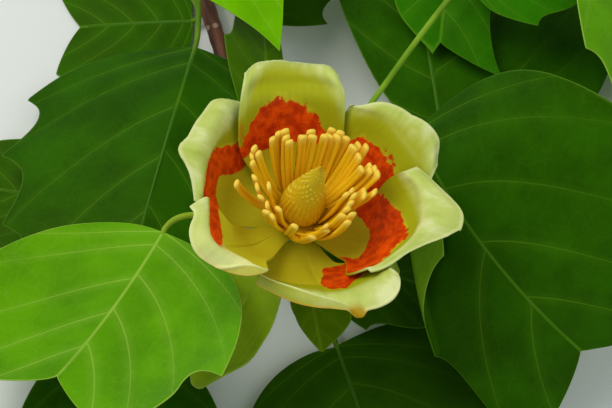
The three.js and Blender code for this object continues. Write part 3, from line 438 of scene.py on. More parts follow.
# Half outlines in midrib lengths: curves of two control points and an end, from (0, 0) to the notch at (0, 1)
halfOutlines = {
    "broad": ((.4, -.03), (.62, .22), (.74, .69), (.52, .74), (.62, 1), (.45, 1.22), (.32, 1.19), (.12, 1.1)),
    "notched": ((.46, 0), (.64, .22), (.78, .735), (.66, .69), (.54, .66), (.575, .83), (.595, .93), (.5, 1.06),
        (.45, 1.22), (.32, 1.19), (.12, 1.1)),
    "folded": ((.1, .08), (.15, .3), (.15, .62), (.14, .78), (.13, .95), (.11, 1.08), (.08, 1.06), (.03, 1.03)),
    "threeTipped": ((.36, -.02), (.5, .1), (.62, .27), (.5, .32), (.55, .42), (.65, .55), (.48, .6), (.52, .72),
        (.56, .86), (.4, .9), (.42, 1.05), (.36, 1.15), (.25, 1.12), (.1, 1.06)),
    "toothed": ((.22, -.02), (.3, .12), (.42, .455), (.35, .455), (.31, .52), (.385, .68), (.33, .72), (.36, .85),
        (.42, 1.15), (.3, 1.13), (.12, 1.08)),
    "deepSinus": ((.4, -.03), (.62, .25), (.74, .69), (.56, .62), (.46, .8), (.42, 1.18), (.3, 1.15), (.12, 1.08)),
    "narrow": ((.16, 0), (.34, .3), (.38, .82), (.28, .84), (.3, 1), (.24, 1.16), (.16, 1.12), (.06, 1.06)),
    "modest": ((.3, -.05), (.38, .12), (.35, .32), (.28, .5), (.24, .8), (.2, 1.08), (.14, 1.06), (.06, 1.04)),
    "slimLobe": ((.2, -.02), (.3, .1), (.33, .5), (.3, .7), (.31, .98), (.44, 1.22), (.3, 1.17), (.12, 1.1)),
    "snubLobe": ((.24, -.02), (.36, .3), (.34, .7), (.3, .88), (.14, .98), (.04, 1.1), (.03, 1.07), (.01, 1.03)),
    "longLobe": ((.3, -.03), (.5, .1), (.53, .5), (.52, .8), (.5, 1.05), (.57, 1.32), (.4, 1.24), (.12, 1.1)),
    "wide": ((.5, -.16), (.86, .12), (.9, .66), (.66, .76), (.74, 1), (.55, 1.22), (.38, 1.19), (.14, 1.1)),
    "pointedNarrow": ((.15, .08), (.3, .32), (.22, .55), (.2, .74), (.06, .92)),
    "pointedBroad": ((.22, .06), (.5, .42), (.38, .72), (.3, .84), (.08, .94)),
}
# base and tip in mm; width; roll, fold, curl and bend in degrees; right and left half; tones; the limb that it
# grows on, the place along it and the way out
leafKeys = ("base", "tip", "width", "roll", "fold", "curl", "bend", "right", "left", "look", "on", "at", "leaving")
leafRows = {
    "leaf_front_left": ((-39.6, 2.3, 43.4), (-68.8, -45.1, 49.6), 1.18, 21, -10, 40, -19, "broad", "notched",
        "bright", "stalk", .45, (-10, -2, 2)),
    "leaf_left": ((-32.1, 76.6, 16.2), (-49.4, -3.8, 31.9), .96, 1, -17, 5, 16, "threeTipped", "modest",
        "deep", "twig", .42, (0, -3, 6)),
    "leaf_right": ((35.3, 38.4, 36), (82.6, -30.7, 32), 1.03, 41, 0, 5, 58, "toothed", "broad",
        "deep", "stalk", .15, (10, 2, 1)),
    "leaf_front": ((11.6, -18.4, 8), (25.9, -62.1, 5), 1.2, 0, 3, -6, 8, "broad", "wide",
        "shade", "twig", .97, (3, -8, -4)),
    "leaf_under_flower": ((1.8, -8, 43), (7, -32.6, 36), 1, 0, 8, -12, 20, "pointedNarrow", "pointedBroad",
        "olive", "stalk", .5, (1, -4, -1)),
    "leaf_back_bright": ((-39.4, 107.6, 50), (-5, 87.4, 46), 1, 0, 6, -10, 15, "longLobe", "broad",
        "vivid", "twig", .3, (-2, 0, 10)),
    "leaf_back_middle": ((-20.8, 97.8, 14), (9.8, 111, 14), .9, 7, 4, -6, 13, "deepSinus", "narrow",
        "shade", "twig", .38, (5, 2, 4)),
    "leaf_young": ((-10.7, 35.4, 40), (-10.4, 72, 34), 1, 19, 14, -10, 26, "folded", "narrow",
        "fresh", "twig", .93, (-2, 3, 6)),
    "leaf_back": ((48.4, 116.5, 22), (43.6, 75.4, 22), 1.1, 0, 6, -12, 20, "snubLobe", "slimLobe",
        "middle", "side", .45, (6, -4, 5)),
    "leaf_back_right": ((53.2, 90.5, 36), (78.3, 93.6, 34), 1, 0, 6, -12, 20, "broad", "broad",
        "middle", "stalk", .3, (6, 6, 3)),
    "leaf_far_right": ((44, 44.6, 12), (33.8, 120, 5), .92, 9, 3, -6, 16, "wide", "narrow",
        "deep", "twig", .9, (6, 2, -3)),
    "leaf_side": ((95.5, 107.6, 26), (112, 60.1, 18), .78, -29, 10, -8, 27, "broad", "broad",
        "bright", "side", .9, (6, -3, 6)),
    "leaf_back_left": ((-33.6, 92.4, 6), (-69, 91.3, 4), 1, 0, 3, -6, 8, "broad", "broad",
        "deep", "twig", .34, (-5, -1, 1)),
    "leaf_far_left": ((-63.2, 27.3, 7), (-94, 35.2, 3), .96, 0, 3, -6, 8, "broad", "broad",
        "deep", "twig", .72, (-8, -3, -1)),
    "leaf_low_left": ((-55.1, -17.7, 8), (-52.8, -60.7, 4), 1, 0, 3, -6, 8, "broad", "broad",
        "deep", "twig", .9, (-6, -6, -2)),
    # leaf_low_right is a dark leaf in the shade tone, set under the flower's right side so that the deep shade there
    # shows as painted shade
    "leaf_low_right": ((6, 8, 18), (36, -2, 14), .8, 0, -8, -6, 10, "broad", "broad",
        "shade", "twig", .95, (6, -2, -3)),
}
leaves = {name: dict(zip(leafKeys, row)) for name, row in leafRows.items()}
leaves["leaf_right"]["rolled"] = {"start": 0.005, "slope": 0.51, "after": 0.30, "until": 0.68, "radius": 1.9,
                                  "turn": 190}
leaves["leaf_back_right"]["bow"] = 6
onFloor = ("leaf_front", "leaf_far_right", "leaf_back_left", "leaf_far_left", "leaf_low_left")
leafDetail = {"rows": 164, "halfColumns": 44, "thickness": 0.35, "groove": 0.16, "pillow": 0.14, "wavy": 0.7,
              "ripple": 0.25, "grooveWidth": 1.2, "midribWidth": 1.8, "pillowWidth": 4.0, "overFloor": 0.45,
              "fullRelief": 70, "bow": 14, "slant": 0.45, "ribHold": 0.98, "ribTop": 0.985, "veinReach": 0.75,
              "veinDepth": (0.9, 0.3), "veinWidth": (0.40, 0.20), "stillEnds": 0.04}
veins = {"feet": (-0.12, 0.0, 0.08, 0.27, 0.50, 0.74, 1.0), "slope": 0.22, "slopeRise": 0.85, "curve": 0.45,
         "curveRise": 2.4, "rightShift": 0.03}


def arcEnd(length, start, turn):
    # where a path ends that starts at an angle and turns steadily:
    # along = (sin(start + turn l) - sin start) / turn, up = (cos start - cos(start + turn l)) / turn
    end = start + turn * length
    return (np.sin(end) - np.sin(start)) / turn, (np.cos(start) - np.cos(end)) / turn


def sampleHalf(name, rows):
    # the margin at even shares of its curves, each a cubic
    points = np.array([(0, 0), *halfOutlines[name], (0, 1)], float)
    count = (len(points) - 1) // 3
    t = np.linspace(0, count, rows)
    which = np.minimum(t.astype(int), count - 1)
    return cubic((t - which)[:, None], *(points[3 * which + k] for k in range(4)))


def leafAxes(leaf):
    # along the chord, to its right and up, turned by the roll; length = chord (bend/2) / sin(bend/2)
    base, tip = np.array(leaf["base"], float), np.array(leaf["tip"], float)
    chord = np.linalg.norm(tip - base)
    along = (tip - base) / chord
    flat = unit(np.cross(along, [0, 0, 1.0]))
    raised = np.cross(flat, along)
    right, up = turned(flat, raised, math.radians(leaf["roll"]))
    half = math.radians(leaf["bend"]) / 2
    return {"base": base, "along": along, "right": right, "up": up, "half": half,
            "length": chord * half / math.sin(half)}


def leafSlope(axes, y):
    # how far the midrib, an arc, still rises at y: from half the bend to minus half
    return axes["half"] * (1 - 2 * y)


def leafPoint(leaf, axes, x, y):
    # x out from the midrib and y along it, in midrib lengths. The section is an arc that leaves the midrib
    # at the fold angle; a rolled margin turns on with its own radius and then lies back; the midrib is an arc
    length, half = axes["length"], axes["half"]
    out = np.abs(x) * leaf["width"] * length
    fold, turn = math.radians(leaf["fold"]), math.radians(leaf["curl"]) / length
    rolled, flatPart = leaf.get("rolled"), out
    if rolled:
        line = (rolled["start"] + rolled["slope"] * y + 1.2 * np.maximum(0, rolled["after"] - y)
                + 3 * np.maximum(0, y - rolled["until"]))
        flatPart = np.where(x > 0, np.minimum(out, line * leaf["width"] * length), out)
    across, lift = arcEnd(flatPart, fold, turn)
    if rolled:
        fullTurn, radius = math.radians(rolled["turn"]), rolled["radius"]
        onArc = np.minimum(out - flatPart, radius * fullTurn)
        startAngle = fold + turn * flatPart
        more, higher = arcEnd(onArc, startAngle, 1 / radius)
        straight = out - flatPart - onArc
        across = across + more + straight * np.cos(startAngle + fullTurn)
        lift = lift + higher + straight * np.sin(startAngle + fullTurn)
    forward, rise = arcEnd(y * length, half, -2 * half / length)
    slope = leafSlope(axes, y)
    return (axes["base"] + (np.sign(x) * across)[..., None] * axes["right"]
            + (forward - np.sin(slope) * lift)[..., None] * axes["along"]
            + (rise + np.cos(slope) * lift)[..., None] * axes["up"])


def veinField(axes, x, y):
    # the course counts the side veins below a point: vein k is y = foot + slope |x| + curve x^2 in midrib
    # lengths, and the course rises from k to k + 1 on the way to the next; the gap between them is in mm
    a = np.abs(x)
    course, gap, lines = np.zeros(x.shape), np.zeros(x.shape), []
    for k, foot in enumerate(veins["feet"]):
        shifted = foot + np.where(x > 0, veins["rightShift"], 0.0) * (k > 2)
        slope, curve = (veins[key] + veins[key + "Rise"] * foot for key in ("slope", "curve"))
        lines.append((shifted + slope * a + curve * a * a, slope + 2 * curve * a))
    for (low, rise), (high, _) in zip(lines[:-1], lines[1:]):
        course += np.clip((y - low) / (high - low), 0, 1)
        within = (y >= low) & (y < high)
        gap = np.where(within, (high - low) * axes["length"] / np.sqrt(1 + rise * rise), gap)
    return course, np.where(gap == 0, 0.2 * axes["length"], gap)


def makeLeaf(name, leaf, seed):
    # ruled blade: the margin point (mx, my) is joined to the midrib at mix(t, my, slant), then grooved along
    # the veins, raised between them and waved; the stalk is a tube that runs on under the blade as its midrib
    axes, detail, look = leafAxes(leaf), leafDetail, looks[leaf["look"]]
    rows, half, length = detail["rows"], detail["halfColumns"], axes["length"]
    t = column(rows)
    rightHalf, leftHalf = (sampleHalf(leaf[key], rows)[:, None, :] for key in ("right", "left"))
    share = np.linspace(-1, 1, 2 * half + 1)[None, :]
    side = np.abs(share)
    margin = np.where((share < 0)[..., None], leftHalf, rightHalf)
    rib = np.minimum(mix(t, margin[..., 1], detail["slant"]), mix(t, detail["ribHold"], 0.5 * t ** 6))
    rib = np.where(t >= 1, 1.0, np.minimum(rib, detail["ribTop"]))
    x, y = margin[..., 0] * share, mix(rib, margin[..., 1], side)
    points = leafPoint(leaf, axes, x, y)
    normals = gridNormals(points)
    course, gap = veinField(axes, x, y)
    nearest = np.abs(course - np.round(course)) * gap
    middle = np.abs(x) * leaf["width"] * length
    reach = np.clip(np.abs(x) / detail["veinReach"], 0, 1)
    toLast = len(veins["feet"]) - 1 - course
    fadeOut = mix(*detail["veinDepth"], reach) * ease(course, 0.2, 0.8) * ease(toLast, 0.2, 0.8)
    trough = np.maximum(bell(nearest, detail["grooveWidth"]) * fadeOut, bell(middle, detail["midribWidth"]))
    pillow = 1 - bell(np.minimum(nearest, middle), detail["pillowWidth"])
    edge, small = side ** 3, min(1.0, length / detail["fullRelief"])
    toRim = (1 - side) * np.abs(margin[..., 0]) * length * leaf["width"]
    wavy = wave(x, y, seed, 6, 0.4, 1.7) * detail["wavy"] * (0.3 + edge) * small
    ripple = wave(x * 2, y * 2, seed + 50, 5, 1.0, 2.4) * detail["ripple"] * edge * small
    fade = ease(np.minimum(t, 1 - t), 0.0, detail["stillEnds"])
    lift = (detail["pillow"] * pillow - detail["groove"] * trough) * small + (wavy + ripple)
    points = points + normals * (lift * fade)[..., None]
    metric = length / 100
    uv = np.stack([0.5 + x * leaf["width"] * metric + seed * 0.37, y * metric + seed * 0.21], -1)
    if name in onFloor:
        points[..., 2] -= points[..., 2].min() - detail["overFloor"]
        axes["base"][2] = points[0, half, 2] + 0.2
    marks = {"course": course, "veinScale": gap / mix(*detail["veinWidth"], reach), "veinFade": fadeOut,
             "across": x * leaf["width"] * length, "toRim": toRim}
    addSurface(name + "_blade", [(points, uv)], look["blade"], name, marks, wall=detail["thickness"])
    makeLeafStalk(name, leaf, axes, look)


# ---- wood and stalks

woodPaths = {
    "twig": [(-47, 166, 3.2), (-37, 126, 4.2), (-28.5, 95, 6.5), (-20, 66, 8.5), (-10, 36, 15), (-5, 19, 27)],
    "side": [(-37, 128, 4.2), (-20, 139, 4.2), (10, 147, 4.5), (48, 153, 5.5), (74, 157, 8)],
}
woodRadii = {"twig": (3.0, 2.1), "side": (2.4, 1.5), "stalk": (1.9, 2.2)}
woodDetail = {"bumps": 0.035, "scarRing": 0.55, "facePoints": 14, "stalkRibs": 0.03, "collar": 0.5,
              "collarAt": 0.86, "uvLength": 40, "scarRate": 160, "angular": 0.02, "collarRate": 34,
              "collarWidth": 1.2, "stalkTop": -8.0, "outOfTwig": (0.3, 7), "intoFlower": (9, 2), "receptacle": [
                  (0, -9), (2.2, -9), (3.6, -8), (4.8, -6.4), (5.2, -4.6), (5.25, -1.4), (5.0, -1.1), (4.2, -1.1),
                  (4.2, 4.2), (3.9, 4.4), (0, 4.4)]}
leafStalk = {"radius": 0.92, "midrib": (0.85, 0.2), "foot": 1.0, "footLength": 2.6, "rings": 180, "sides": 14,
             "mostBow": 0.35, "under": (0.01, 0.93), "depth": 0.95, "gap": 0.08, "sinks": (-0.02, 0.12)}


def evenly(path, count):
    # the same path sampled at equal steps of its length
    steps = running(np.linalg.norm(np.diff(path, axis=0), axis=1))
    at = np.linspace(0, steps[-1], count)
    return np.stack([np.interp(at, steps, path[:, k]) for k in range(3)], -1)


def throughPoints(points, count=400):
    # a centripetal Catmull-Rom curve: Hermite pieces whose knots are the square roots of the chords
    p = np.array(points, float)
    p = np.concatenate([[2 * p[0] - p[1]], p, [2 * p[-1] - p[-2]]])
    s = np.linspace(0, 1, 60, endpoint=False)[:, None]
    pieces = []
    for i in range(1, len(p) - 2):
        before, here, after = p[i] - p[i - 1], p[i + 1] - p[i], p[i + 2] - p[i + 1]
        a, b, c = (np.linalg.norm(step) ** 0.5 for step in (before, here, after))
        start = (before / a - (before + here) / (a + b) + here / b) * b
        end = (here / b - (here + after) / (b + c) + after / c) * b
        pieces.append((2 * s ** 3 - 3 * s ** 2 + 1) * p[i] + (s ** 3 - 2 * s ** 2 + s) * start
                      + (3 * s ** 2 - 2 * s ** 3) * p[i + 1] + (s ** 3 - s ** 2) * end)
    return evenly(np.concatenate(pieces + [p[-2:-1]]), count)


def tube(path, radius, sides):
    # path + r (cos a side + sin a up) as a grid of rings, with side and up carried along the path with the
    # least turn; the radius is an array along the path or a full grid
    tangent = unit(np.gradient(path, axis=0))
    first = np.cross(tangent[0], [0.3, 0.2, 1.0])
    side = [first / np.linalg.norm(first)]
    for k in range(1, len(path)):
        moved = side[-1] - tangent[k] * np.dot(side[-1], tangent[k])
        side.append(moved / np.linalg.norm(moved))
    side = np.array(side)
    up, turn = np.cross(tangent, side), circle(sides)
    ring = np.cos(turn)[None, :, None] * side[:, None, :] + np.sin(turn)[None, :, None] * up[:, None, :]
    points = path[:, None, :] + np.reshape(radius, (len(path), -1))[..., None] * ring
    steps = running(np.linalg.norm(np.diff(path, axis=0), axis=1))
    return points, wrapUv(sides, steps[:, None] / woodDetail["uvLength"])


def capped(points, uv, shrinkStart=True):
    # closes a tube with rings that shrink to a point over each end
    first, last = points[0].mean(0) + 0 * points[:1], points[-1].mean(0) + 0 * points[-1:]
    if shrinkStart:
        points, uv = np.concatenate([first, points]), np.concatenate([uv[:1], uv])
    return np.concatenate([points, last]), np.concatenate([uv, uv[-1:]])


def stalkCurve():
    # a cubic from the twig's end along its direction into the flower's axis
    twig = woodCurves["twig"]
    away = unit(twig[-1] - twig[-2])
    top = np.array([0, 0, flower["height"]]) + flowerAxis * woodDetail["stalkTop"]
    (gap, leaving), (arriving, past) = woodDetail["outOfTwig"], woodDetail["intoFlower"]
    start, end = twig[-1] + away * gap, top + flowerAxis * past
    return evenly(cubic(column(200), start, start + away * leaving, top - flowerAxis * arriving, end), 200)


woodCurves = {name: throughPoints(points) for name, points in woodPaths.items()}
woodCurves["stalk"] = stalkCurve()


def budPoint(leaf):
    # the point on its limb's surface, and the way straight out of it
    curve = woodCurves[leaf["on"]]
    last = len(curve) - 1
    k = leaf["at"] * last
    low = int(k)
    centre = mix(curve[low], curve[min(low + 1, last)], k - low)
    tangent = unit(curve[min(low + 2, last)] - curve[max(low - 1, 0)])
    out = np.array(leaf["leaving"], float)
    out = unit(out - tangent * np.dot(out, tangent))
    return centre + out * mix(*woodRadii[leaf["on"]], leaf["at"]), out


def makeLeafStalk(name, leaf, axes, look):
    # swollen foot on the wood, even middle, and a midrib that thins out under the blade
    (start, out), base, thick = budPoint(leaf), axes["base"], leafStalk["midrib"]
    into = unit(leafPoint(leaf, axes, np.array(0.0), np.array(0.1)) - base)
    reach = np.linalg.norm(base - start)
    bow = min(reach * leafStalk["mostBow"], leaf.get("bow", leafDetail["bow"]))
    free = cubic(column(70), start - out * 0.5, start + out * bow, base - into * bow, base - into * 0.5)
    y = np.linspace(*leafStalk["under"], 60)
    slope = leafSlope(axes, y)
    up = np.cos(slope)[:, None] * axes["up"] - np.sin(slope)[:, None] * axes["along"]
    under = (leafPoint(leaf, axes, np.zeros_like(y), y)
             - up * (leafStalk["depth"] * mix(*thick, ease(y, 0.0, 1.0)) + leafStalk["gap"])[:, None])
    path = evenly(np.concatenate([free, under]), leafStalk["rings"])
    s = np.linspace(0, 1, leafStalk["rings"])
    whole = reach + axes["length"]
    bladeStart = reach / whole
    radius = np.where(s < bladeStart, leafStalk["radius"], mix(*thick, ease(s, bladeStart, 1.0)))
    radius = radius + leafStalk["foot"] * np.exp(-(s * whole / leafStalk["footLength"]) ** 2)
    sunk = ease(np.concatenate([s[:1], s, s[-1:]]), *(bladeStart + step for step in leafStalk["sinks"]))
    addSurface(name + "_stalk", [capped(*tube(path, radius, leafStalk["sides"]))], look["stalk"], name,
               {"sunk": sunk[:, None] * np.ones(leafStalk["sides"])}, closed=True)


def makeTwig():
    # bark tubes r = taper (1 + bumps) with a raised ring round the wood at each leaf, a domed side shoot
    # end, and a flat cut face of rings that shrink to the pith
    grids = []
    for name, sides in (("twig", 40), ("side", 32)):
        curve, around = woodCurves[name], circle(sides)
        s = np.linspace(0, 1, len(curve))
        bumps = woodDetail["bumps"] * wave(s[:, None] * 9, np.cos(around)[None, :] * .3, 7)
        radius = mix(*woodRadii[name], s)[:, None] * (1 + bumps + woodDetail["angular"] * np.sin(around * 3)[None, :])
        for leaf in leaves.values():
            if leaf["on"] == name:
                ring = np.exp(-((s - leaf["at"]) * woodDetail["scarRate"]) ** 2)
                radius = radius + woodDetail["scarRing"] * ring[:, None]
        points, uv = tube(curve, radius, sides)
        if name == "twig":
            centre, shrink = points[0].mean(0), column(woodDetail["facePoints"])
            face = centre + (points[0] - centre)[None] * shrink[..., None]
            grids.append((face, wrapUv(sides, shrink), 1))
        grids.append(capped(points, uv, shrinkStart=name != "twig"))
    addSurface("twig_bark", grids, [finishes["bark"], finishes["wood"]], "twig", {}, closed=True)


def makeFlowerStalk():
    # a green tube, and the receptacle as a turned profile on the flower's axis
    s, around = np.linspace(0, 1, len(woodCurves["stalk"])), circle(32)
    radius = mix(*woodRadii["stalk"], s)[:, None] * (1 + woodDetail["stalkRibs"] * np.sin(around * 5)[None, :])
    ring = bell((s - woodDetail["collarAt"]) * woodDetail["collarRate"], woodDetail["collarWidth"])
    radius = radius + woodDetail["collar"] * ring[:, None]
    knob = lathe(woodDetail["receptacle"], 48, woodDetail["uvLength"])
    grids = [capped(*tube(woodCurves["stalk"], radius, 32)), knob]
    addSurface("flower_stalk_green", grids, [finishes["flowerStalk"]], "flower_stalk", {}, closed=True)


# ---- the flower

innerSeat, outerSeat = (4.6, 0.0), (5.6, -2.4)  # mm out from the axis, and up it
# lengths in mm and angles in degrees; then what makes each lip
petalForm = ("seat", "azimuth", "length", "width", "claw", "wall", "lip", "lipAt", "cup", "flare", "lean", "twist",
             "skew", "corner", "tipWidth", "point", "bend")
# bandAt and rollAt are places across, from the left margin at -1 to the right one at 1; a plain number holds
# everywhere. fold is where the lip folds back, past 1 for nowhere; a cut is (depth, start, end)
# glow sets a painted highlight along the lip's crest; green sets painted shade on the lip past its fold
plainPetal = {"bandAt": (), "bandLow": .5, "bandHigh": .5, "rollAt": (), "rollFrom": .9, "roll": .5, "lipShare": 1.0,
              "glow": 0.0, "hollowTo": 0.0, "green": 0.0, "tinge": 0.0, "cream": 0.0, "gild": 0.0, "fold": 2.0,
              "stains": (), "crease": (.8, 0.0), "cutLow": (0, 0, 1), "cutHigh": (0, 0, 1)}


def petalOf(*form, **own):
    # the plain petal with its form and whatever is its own
    return {**plainPetal, **dict(zip(petalForm, form)), **own}


petals = {
    "petal_inner_back": petalOf(
        innerSeat, 103, 45.7, 32.1, 14, 54, -13, .66, 35, 36, -6.4, -2, .04, .11, .83, -.01, .8,
        bandAt=(-.85, -.7, -.5, -.3, 0, .3, .6, .75, .95), bandLow=(.4, .4, .4, .4, .42, .4, .4, .4, .38),
        bandHigh=(.4, .48, .57, .65, .71, .7, .67, .6, .46), rollAt=(-1, -.8, -.5, 0, .5, .8, 1),
        rollFrom=(.82, .84, .86, .88, .86, .84, .82), roll=(28, 28, 28, 28, 27, 26, 25),
        lipShare=(.9, 1.16, 1.18, 1.42, 1.36, 1.16, .7), hollowTo=(-1, -.1, .7, .8, .7, 0, -.4),
        stains=((.95, .56, .05, .05, 0.0),), crease=(.82, 1.0)),
    "petal_outer_right": petalOf(
        outerSeat, 28.2, 44.5, 33.6, 8, 54, 22, .79, 18, 28, 10.6, 15.7, -.1, .15, .89, -.01, .8,
        bandAt=(-1, -.4, 0, .5, .65, .8), bandLow=(.42, .42, .42, .42, .4, .38),
        bandHigh=(.58, .62, .65, .65, .54, .38), rollAt=(-1, -.8, -.5, 0, .5, .8, 1),
        rollFrom=(.78, .78, .78, .81, .85, .87, .88), roll=(40, 40, 40, 38, 34, 31, 30),
        lipShare=(.6, .95, .94, .94, .89, .88, .5), glow=(0, 0, .1, .1, 0, 0, 0),
        hollowTo=(.1, .45, .7, .75, .7, .5, .3), crease=(.86, .3)),
    "petal_inner_right": petalOf(
        innerSeat, -22.6, 52.4, 35.8, 5, 56, 11, .77, 26, -45, 4.8, 2.4, -.12, .25, .71, .04, .35,
        bandAt=(-1, -.94, -.8, -.5, -.2, .1, .4, .7, 1), bandLow=(.22, .24, .28, .34, .37, .34, .28, .21, .18),
        bandHigh=(.22, .65, .62, .62, .68, .62, .54, .42, .34), rollAt=(-1, -.8, -.6, -.45, -.3, -.1, .1, .4, 1),
        rollFrom=(.6, .62, .64, .68, .73, .75, .75, .73, .7), roll=(50, 50, 50, 50, 48, 45, 42, 38, 30),
        lipShare=(.12, .14, .15, .2, .5, .68, .86, 1.0, .62), glow=(.3, .5, .7, .8, .7, .5, .4, .3, .1),
        crease=(.7, .3), cutLow=(.33, .25, .4)),
    "petal_outer_front": petalOf(
        outerSeat, -75.7, 48.1, 38.0, 7, 48, -12, .83, 33, -7, -5.3, .3, .06, .29, 1.43, -.04, 1.0,
        bandAt=(-1, -.85, -.7, 0, .1, .3, .5, 1), bandLow=(.36, .36, .38, .45, .34, .26, .24, .28),
        bandHigh=(.44, .43, .38, .45, .59, .64, .56, .56), rollAt=(-1, -.7, -.45, -.2, .1, .3, .6, 1),
        rollFrom=(.5, .5, .5, .58, .66, .68, .71, .8), roll=(90, 95, 100, 100, 80, 60, 30, 15),
        lipShare=(.17, .18, .25, .3, .38, .58, .75, .83), glow=(.3, .6, .7, .6, .3, .1, 0, 0),
        green=(.9, 1.0, 1.0, .9, .6, .2, 0, 0), tinge=(.6, .9, .9, .9, .6, .2, 0, 0),
        fold=(0, 0, .08, .24, .54, 1.0, 1.3, 1.3), stains=((.27, 1.0, .07, .075, 2.2),),
        cutLow=(-.25, .25, .45), cutHigh=(.45, .22, .4)),
    "petal_inner_left": petalOf(
        innerSeat, 221.2, 45.5, 31.9, 12, 47, 34, .56, 43, 10, .4, -3.5, -.04, .21, 1.02, 0, .6,
        bandAt=(-1, -.7, -.45, -.25, -.05, .2), bandLow=(.64, .61, .62, .65, .72, .74),
        bandHigh=(.71, .72, .76, .78, .76, .74), rollAt=(-1, -.8, -.6, -.2, .1, .4, .7, 1),
        rollFrom=(.72, .7, .7, .74, .66, .6, .66, .8), roll=(60, 60, 60, 65, 70, 70, 65, 50),
        lipShare=(.72, .24, .5, .62, .45, .35, .27, .05), glow=(.2, .2, .3, .3, .35, .35, .3, .2),
        green=(0, 0, 0, 0, .5, .7, .7, .5), tinge=(0, 0, 0, .1, .4, .5, .5, .3),
        cream=(.1, .1, .2, .4, .7, .9, .9, .8), fold=(1.3, 1.3, 1.3, 1.3, 1.1, .55, .2, 0),
        cutLow=(.58, .48, .68), cutHigh=(.45, .45, .78), gild=.4),
    "petal_outer_left": petalOf(
        outerSeat, 153.3, 46.6, 37.7, 12, 59, 3, .79, 18, 27, 5.5, 9.4, .05, .23, .99, -.02, .6,
        bandAt=(-1, -.7, -.4, -.2, 0, .3, .6, .8, 1), bandLow=(.38, .36, .36, .38, .43, .55, .53, .37, .3),
        bandHigh=(.55, .53, .55, .62, .7, .72, .72, .72, .72), rollAt=(-1, -.8, -.5, 0, .3, .62, 1),
        rollFrom=(.72, .71, .7, .71, .71, .7, .69), roll=(30, 32, 35, 40, 45, 45, 45),
        lipShare=(.75, .86, .66, .67, .76, .41, .3), glow=(.1, .2, .2, .2, .2, .1, .1)),
}
sepalRows = {"sepal_front": (236, 51, 22, -22, -44, -34), "sepal_right": (3, 40, 21, -12, -48, -60),
             "sepal_back": (128, 38, 21, -12, -50, -64)}
sepals = {name: petalOf((5.6, -5.6), *row, .7, 22, 0, 0, 0, 0, .32, .45, 0, 1.0) for name, row in sepalRows.items()}
petalDetail = {"rows": 160, "columns": 121, "thickness": 0.65, "marginRoll": 0.9, "ruffle": 0.45, "ridge": 0.02,
               "rim": 6.0, "swell": 0.5, "keel": 0.35, "crease": 1.6, "foldRise": 0.45, "reach": 1.4, "steps": 120,
               "pieces": 12, "clawWidth": 0.34, "widening": 0.66, "lipWithin": 0.28, "ridges": 46,
               "keelWidth": 0.05, "creaseWidth": 0.06, "foldWidth": 0.03, "glowWidth": 0.024}
# where each thing sets in along a petal, across it or with another value
petalSpans = {"wall": (0.10, 0.42), "widen": (-0.05, 0.5), "narrow": (0.62, 1.05), "cup": (-0.15, 0.45),
              "flare": (0.15, 0.9), "edgeAcross": (0.76, 1.0), "edgeAlong": (0.35, 0.8), "edgeShare": (0.1, 0.8),
              "swell": (0.3, 0.8), "ridge": (0.1, 0.5), "keelFrom": (0.05, 0.3), "keelTo": (0.8, 0.6),
              "crease": (0, 0.3), "fold": (0, 0.2), "paleAcross": (0.86, 1.0), "paleAlong": (0.6, 0.85),
              "paleTip": (0.0, 2.5), "tip": (0.93, 1.0), "band": (0.02, 0.07)}


def over(key, value):
    # the value eased over a span
    return ease(value, *petalSpans[key])


def acrossPetal(petal, key, u, at="rollAt", offsets=(-0.12, -0.06, 0, 0.06, 0.12)):
    # the mean of the values at some places round u, so that they change smoothly across the petal
    if np.isscalar(petal[key]):
        return np.full(u.shape, float(petal[key]))
    return np.mean([np.interp(u + offset, petal[at], petal[key]) for offset in offsets], 0)


def midlineSlope(petal, s):
    # claw angle, easing to the wall angle and from lipAt on to the lip angle
    toWall = (petal["wall"] - petal["claw"]) * over("wall", s)
    toLip = (petal["lip"] - petal["wall"]) * ease(s, petal["lipAt"], petal["lipAt"] + petalDetail["lipWithin"])
    return np.radians(petal["claw"] + toWall + toLip)


def petalPoint(petal, u, v):
    # the midline is the running sum of steps (cos slope, sin slope); across it the section leans by
    # cup t - flare t^4, summed over its pieces, then the whole is twisted and turned to its azimuth
    reach, steps, pieces = (petalDetail[key] for key in ("reach", "steps", "pieces"))
    slopes = midlineSlope(petal, (np.arange(steps) + 0.5) / steps * reach)
    step = petal["length"] * reach / steps
    radii, heights = (seat + running(way(slopes) * step) for seat, way in zip(petal["seat"], (np.cos, np.sin)))
    side = np.abs(u)
    tipBow = petal["corner"] * side ** 3 - petal["skew"] * u
    s = v * (1 - v * v * tipBow + petal["point"] * v ** 6 * np.maximum(0, 1 - 3 * side) ** 2)
    knots = np.linspace(0, reach, steps + 1)
    r, h, slope = np.interp(s, knots, radii), np.interp(s, knots, heights), midlineSlope(petal, s)
    swell = petalDetail["clawWidth"] + petalDetail["widening"] * over("widen", s)
    cuts = [depth * (1 - ease(s, start, end)) for depth, start, end in (petal["cutLow"], petal["cutHigh"])]
    halfWidth = petal["width"] / 2 * (swell - (1 - petal["tipWidth"]) * over("narrow", s))
    halfWidth = halfWidth * (1 - np.where(u < 0, *cuts))
    cup, flare = (math.radians(petal[key]) * over(key, s) for key in ("cup", "flare"))
    t = side[..., None] * (np.arange(pieces) + 0.5) / pieces
    angle = cup[..., None] * t - flare[..., None] * t ** 4
    across = np.cos(angle).sum(-1) * side * halfWidth / pieces * np.sign(u)
    lift = np.sin(angle).sum(-1) * side * halfWidth / pieces
    sideways, inward = turned(across, lift, math.radians(petal["twist"]) * s)
    azimuth = np.radians(petal["azimuth"] + petal["lean"] * np.maximum(0, s) ** 1.5)
    return np.stack([*turned(r - np.sin(slope) * inward, sideways, azimuth), h + np.cos(slope) * inward], -1)


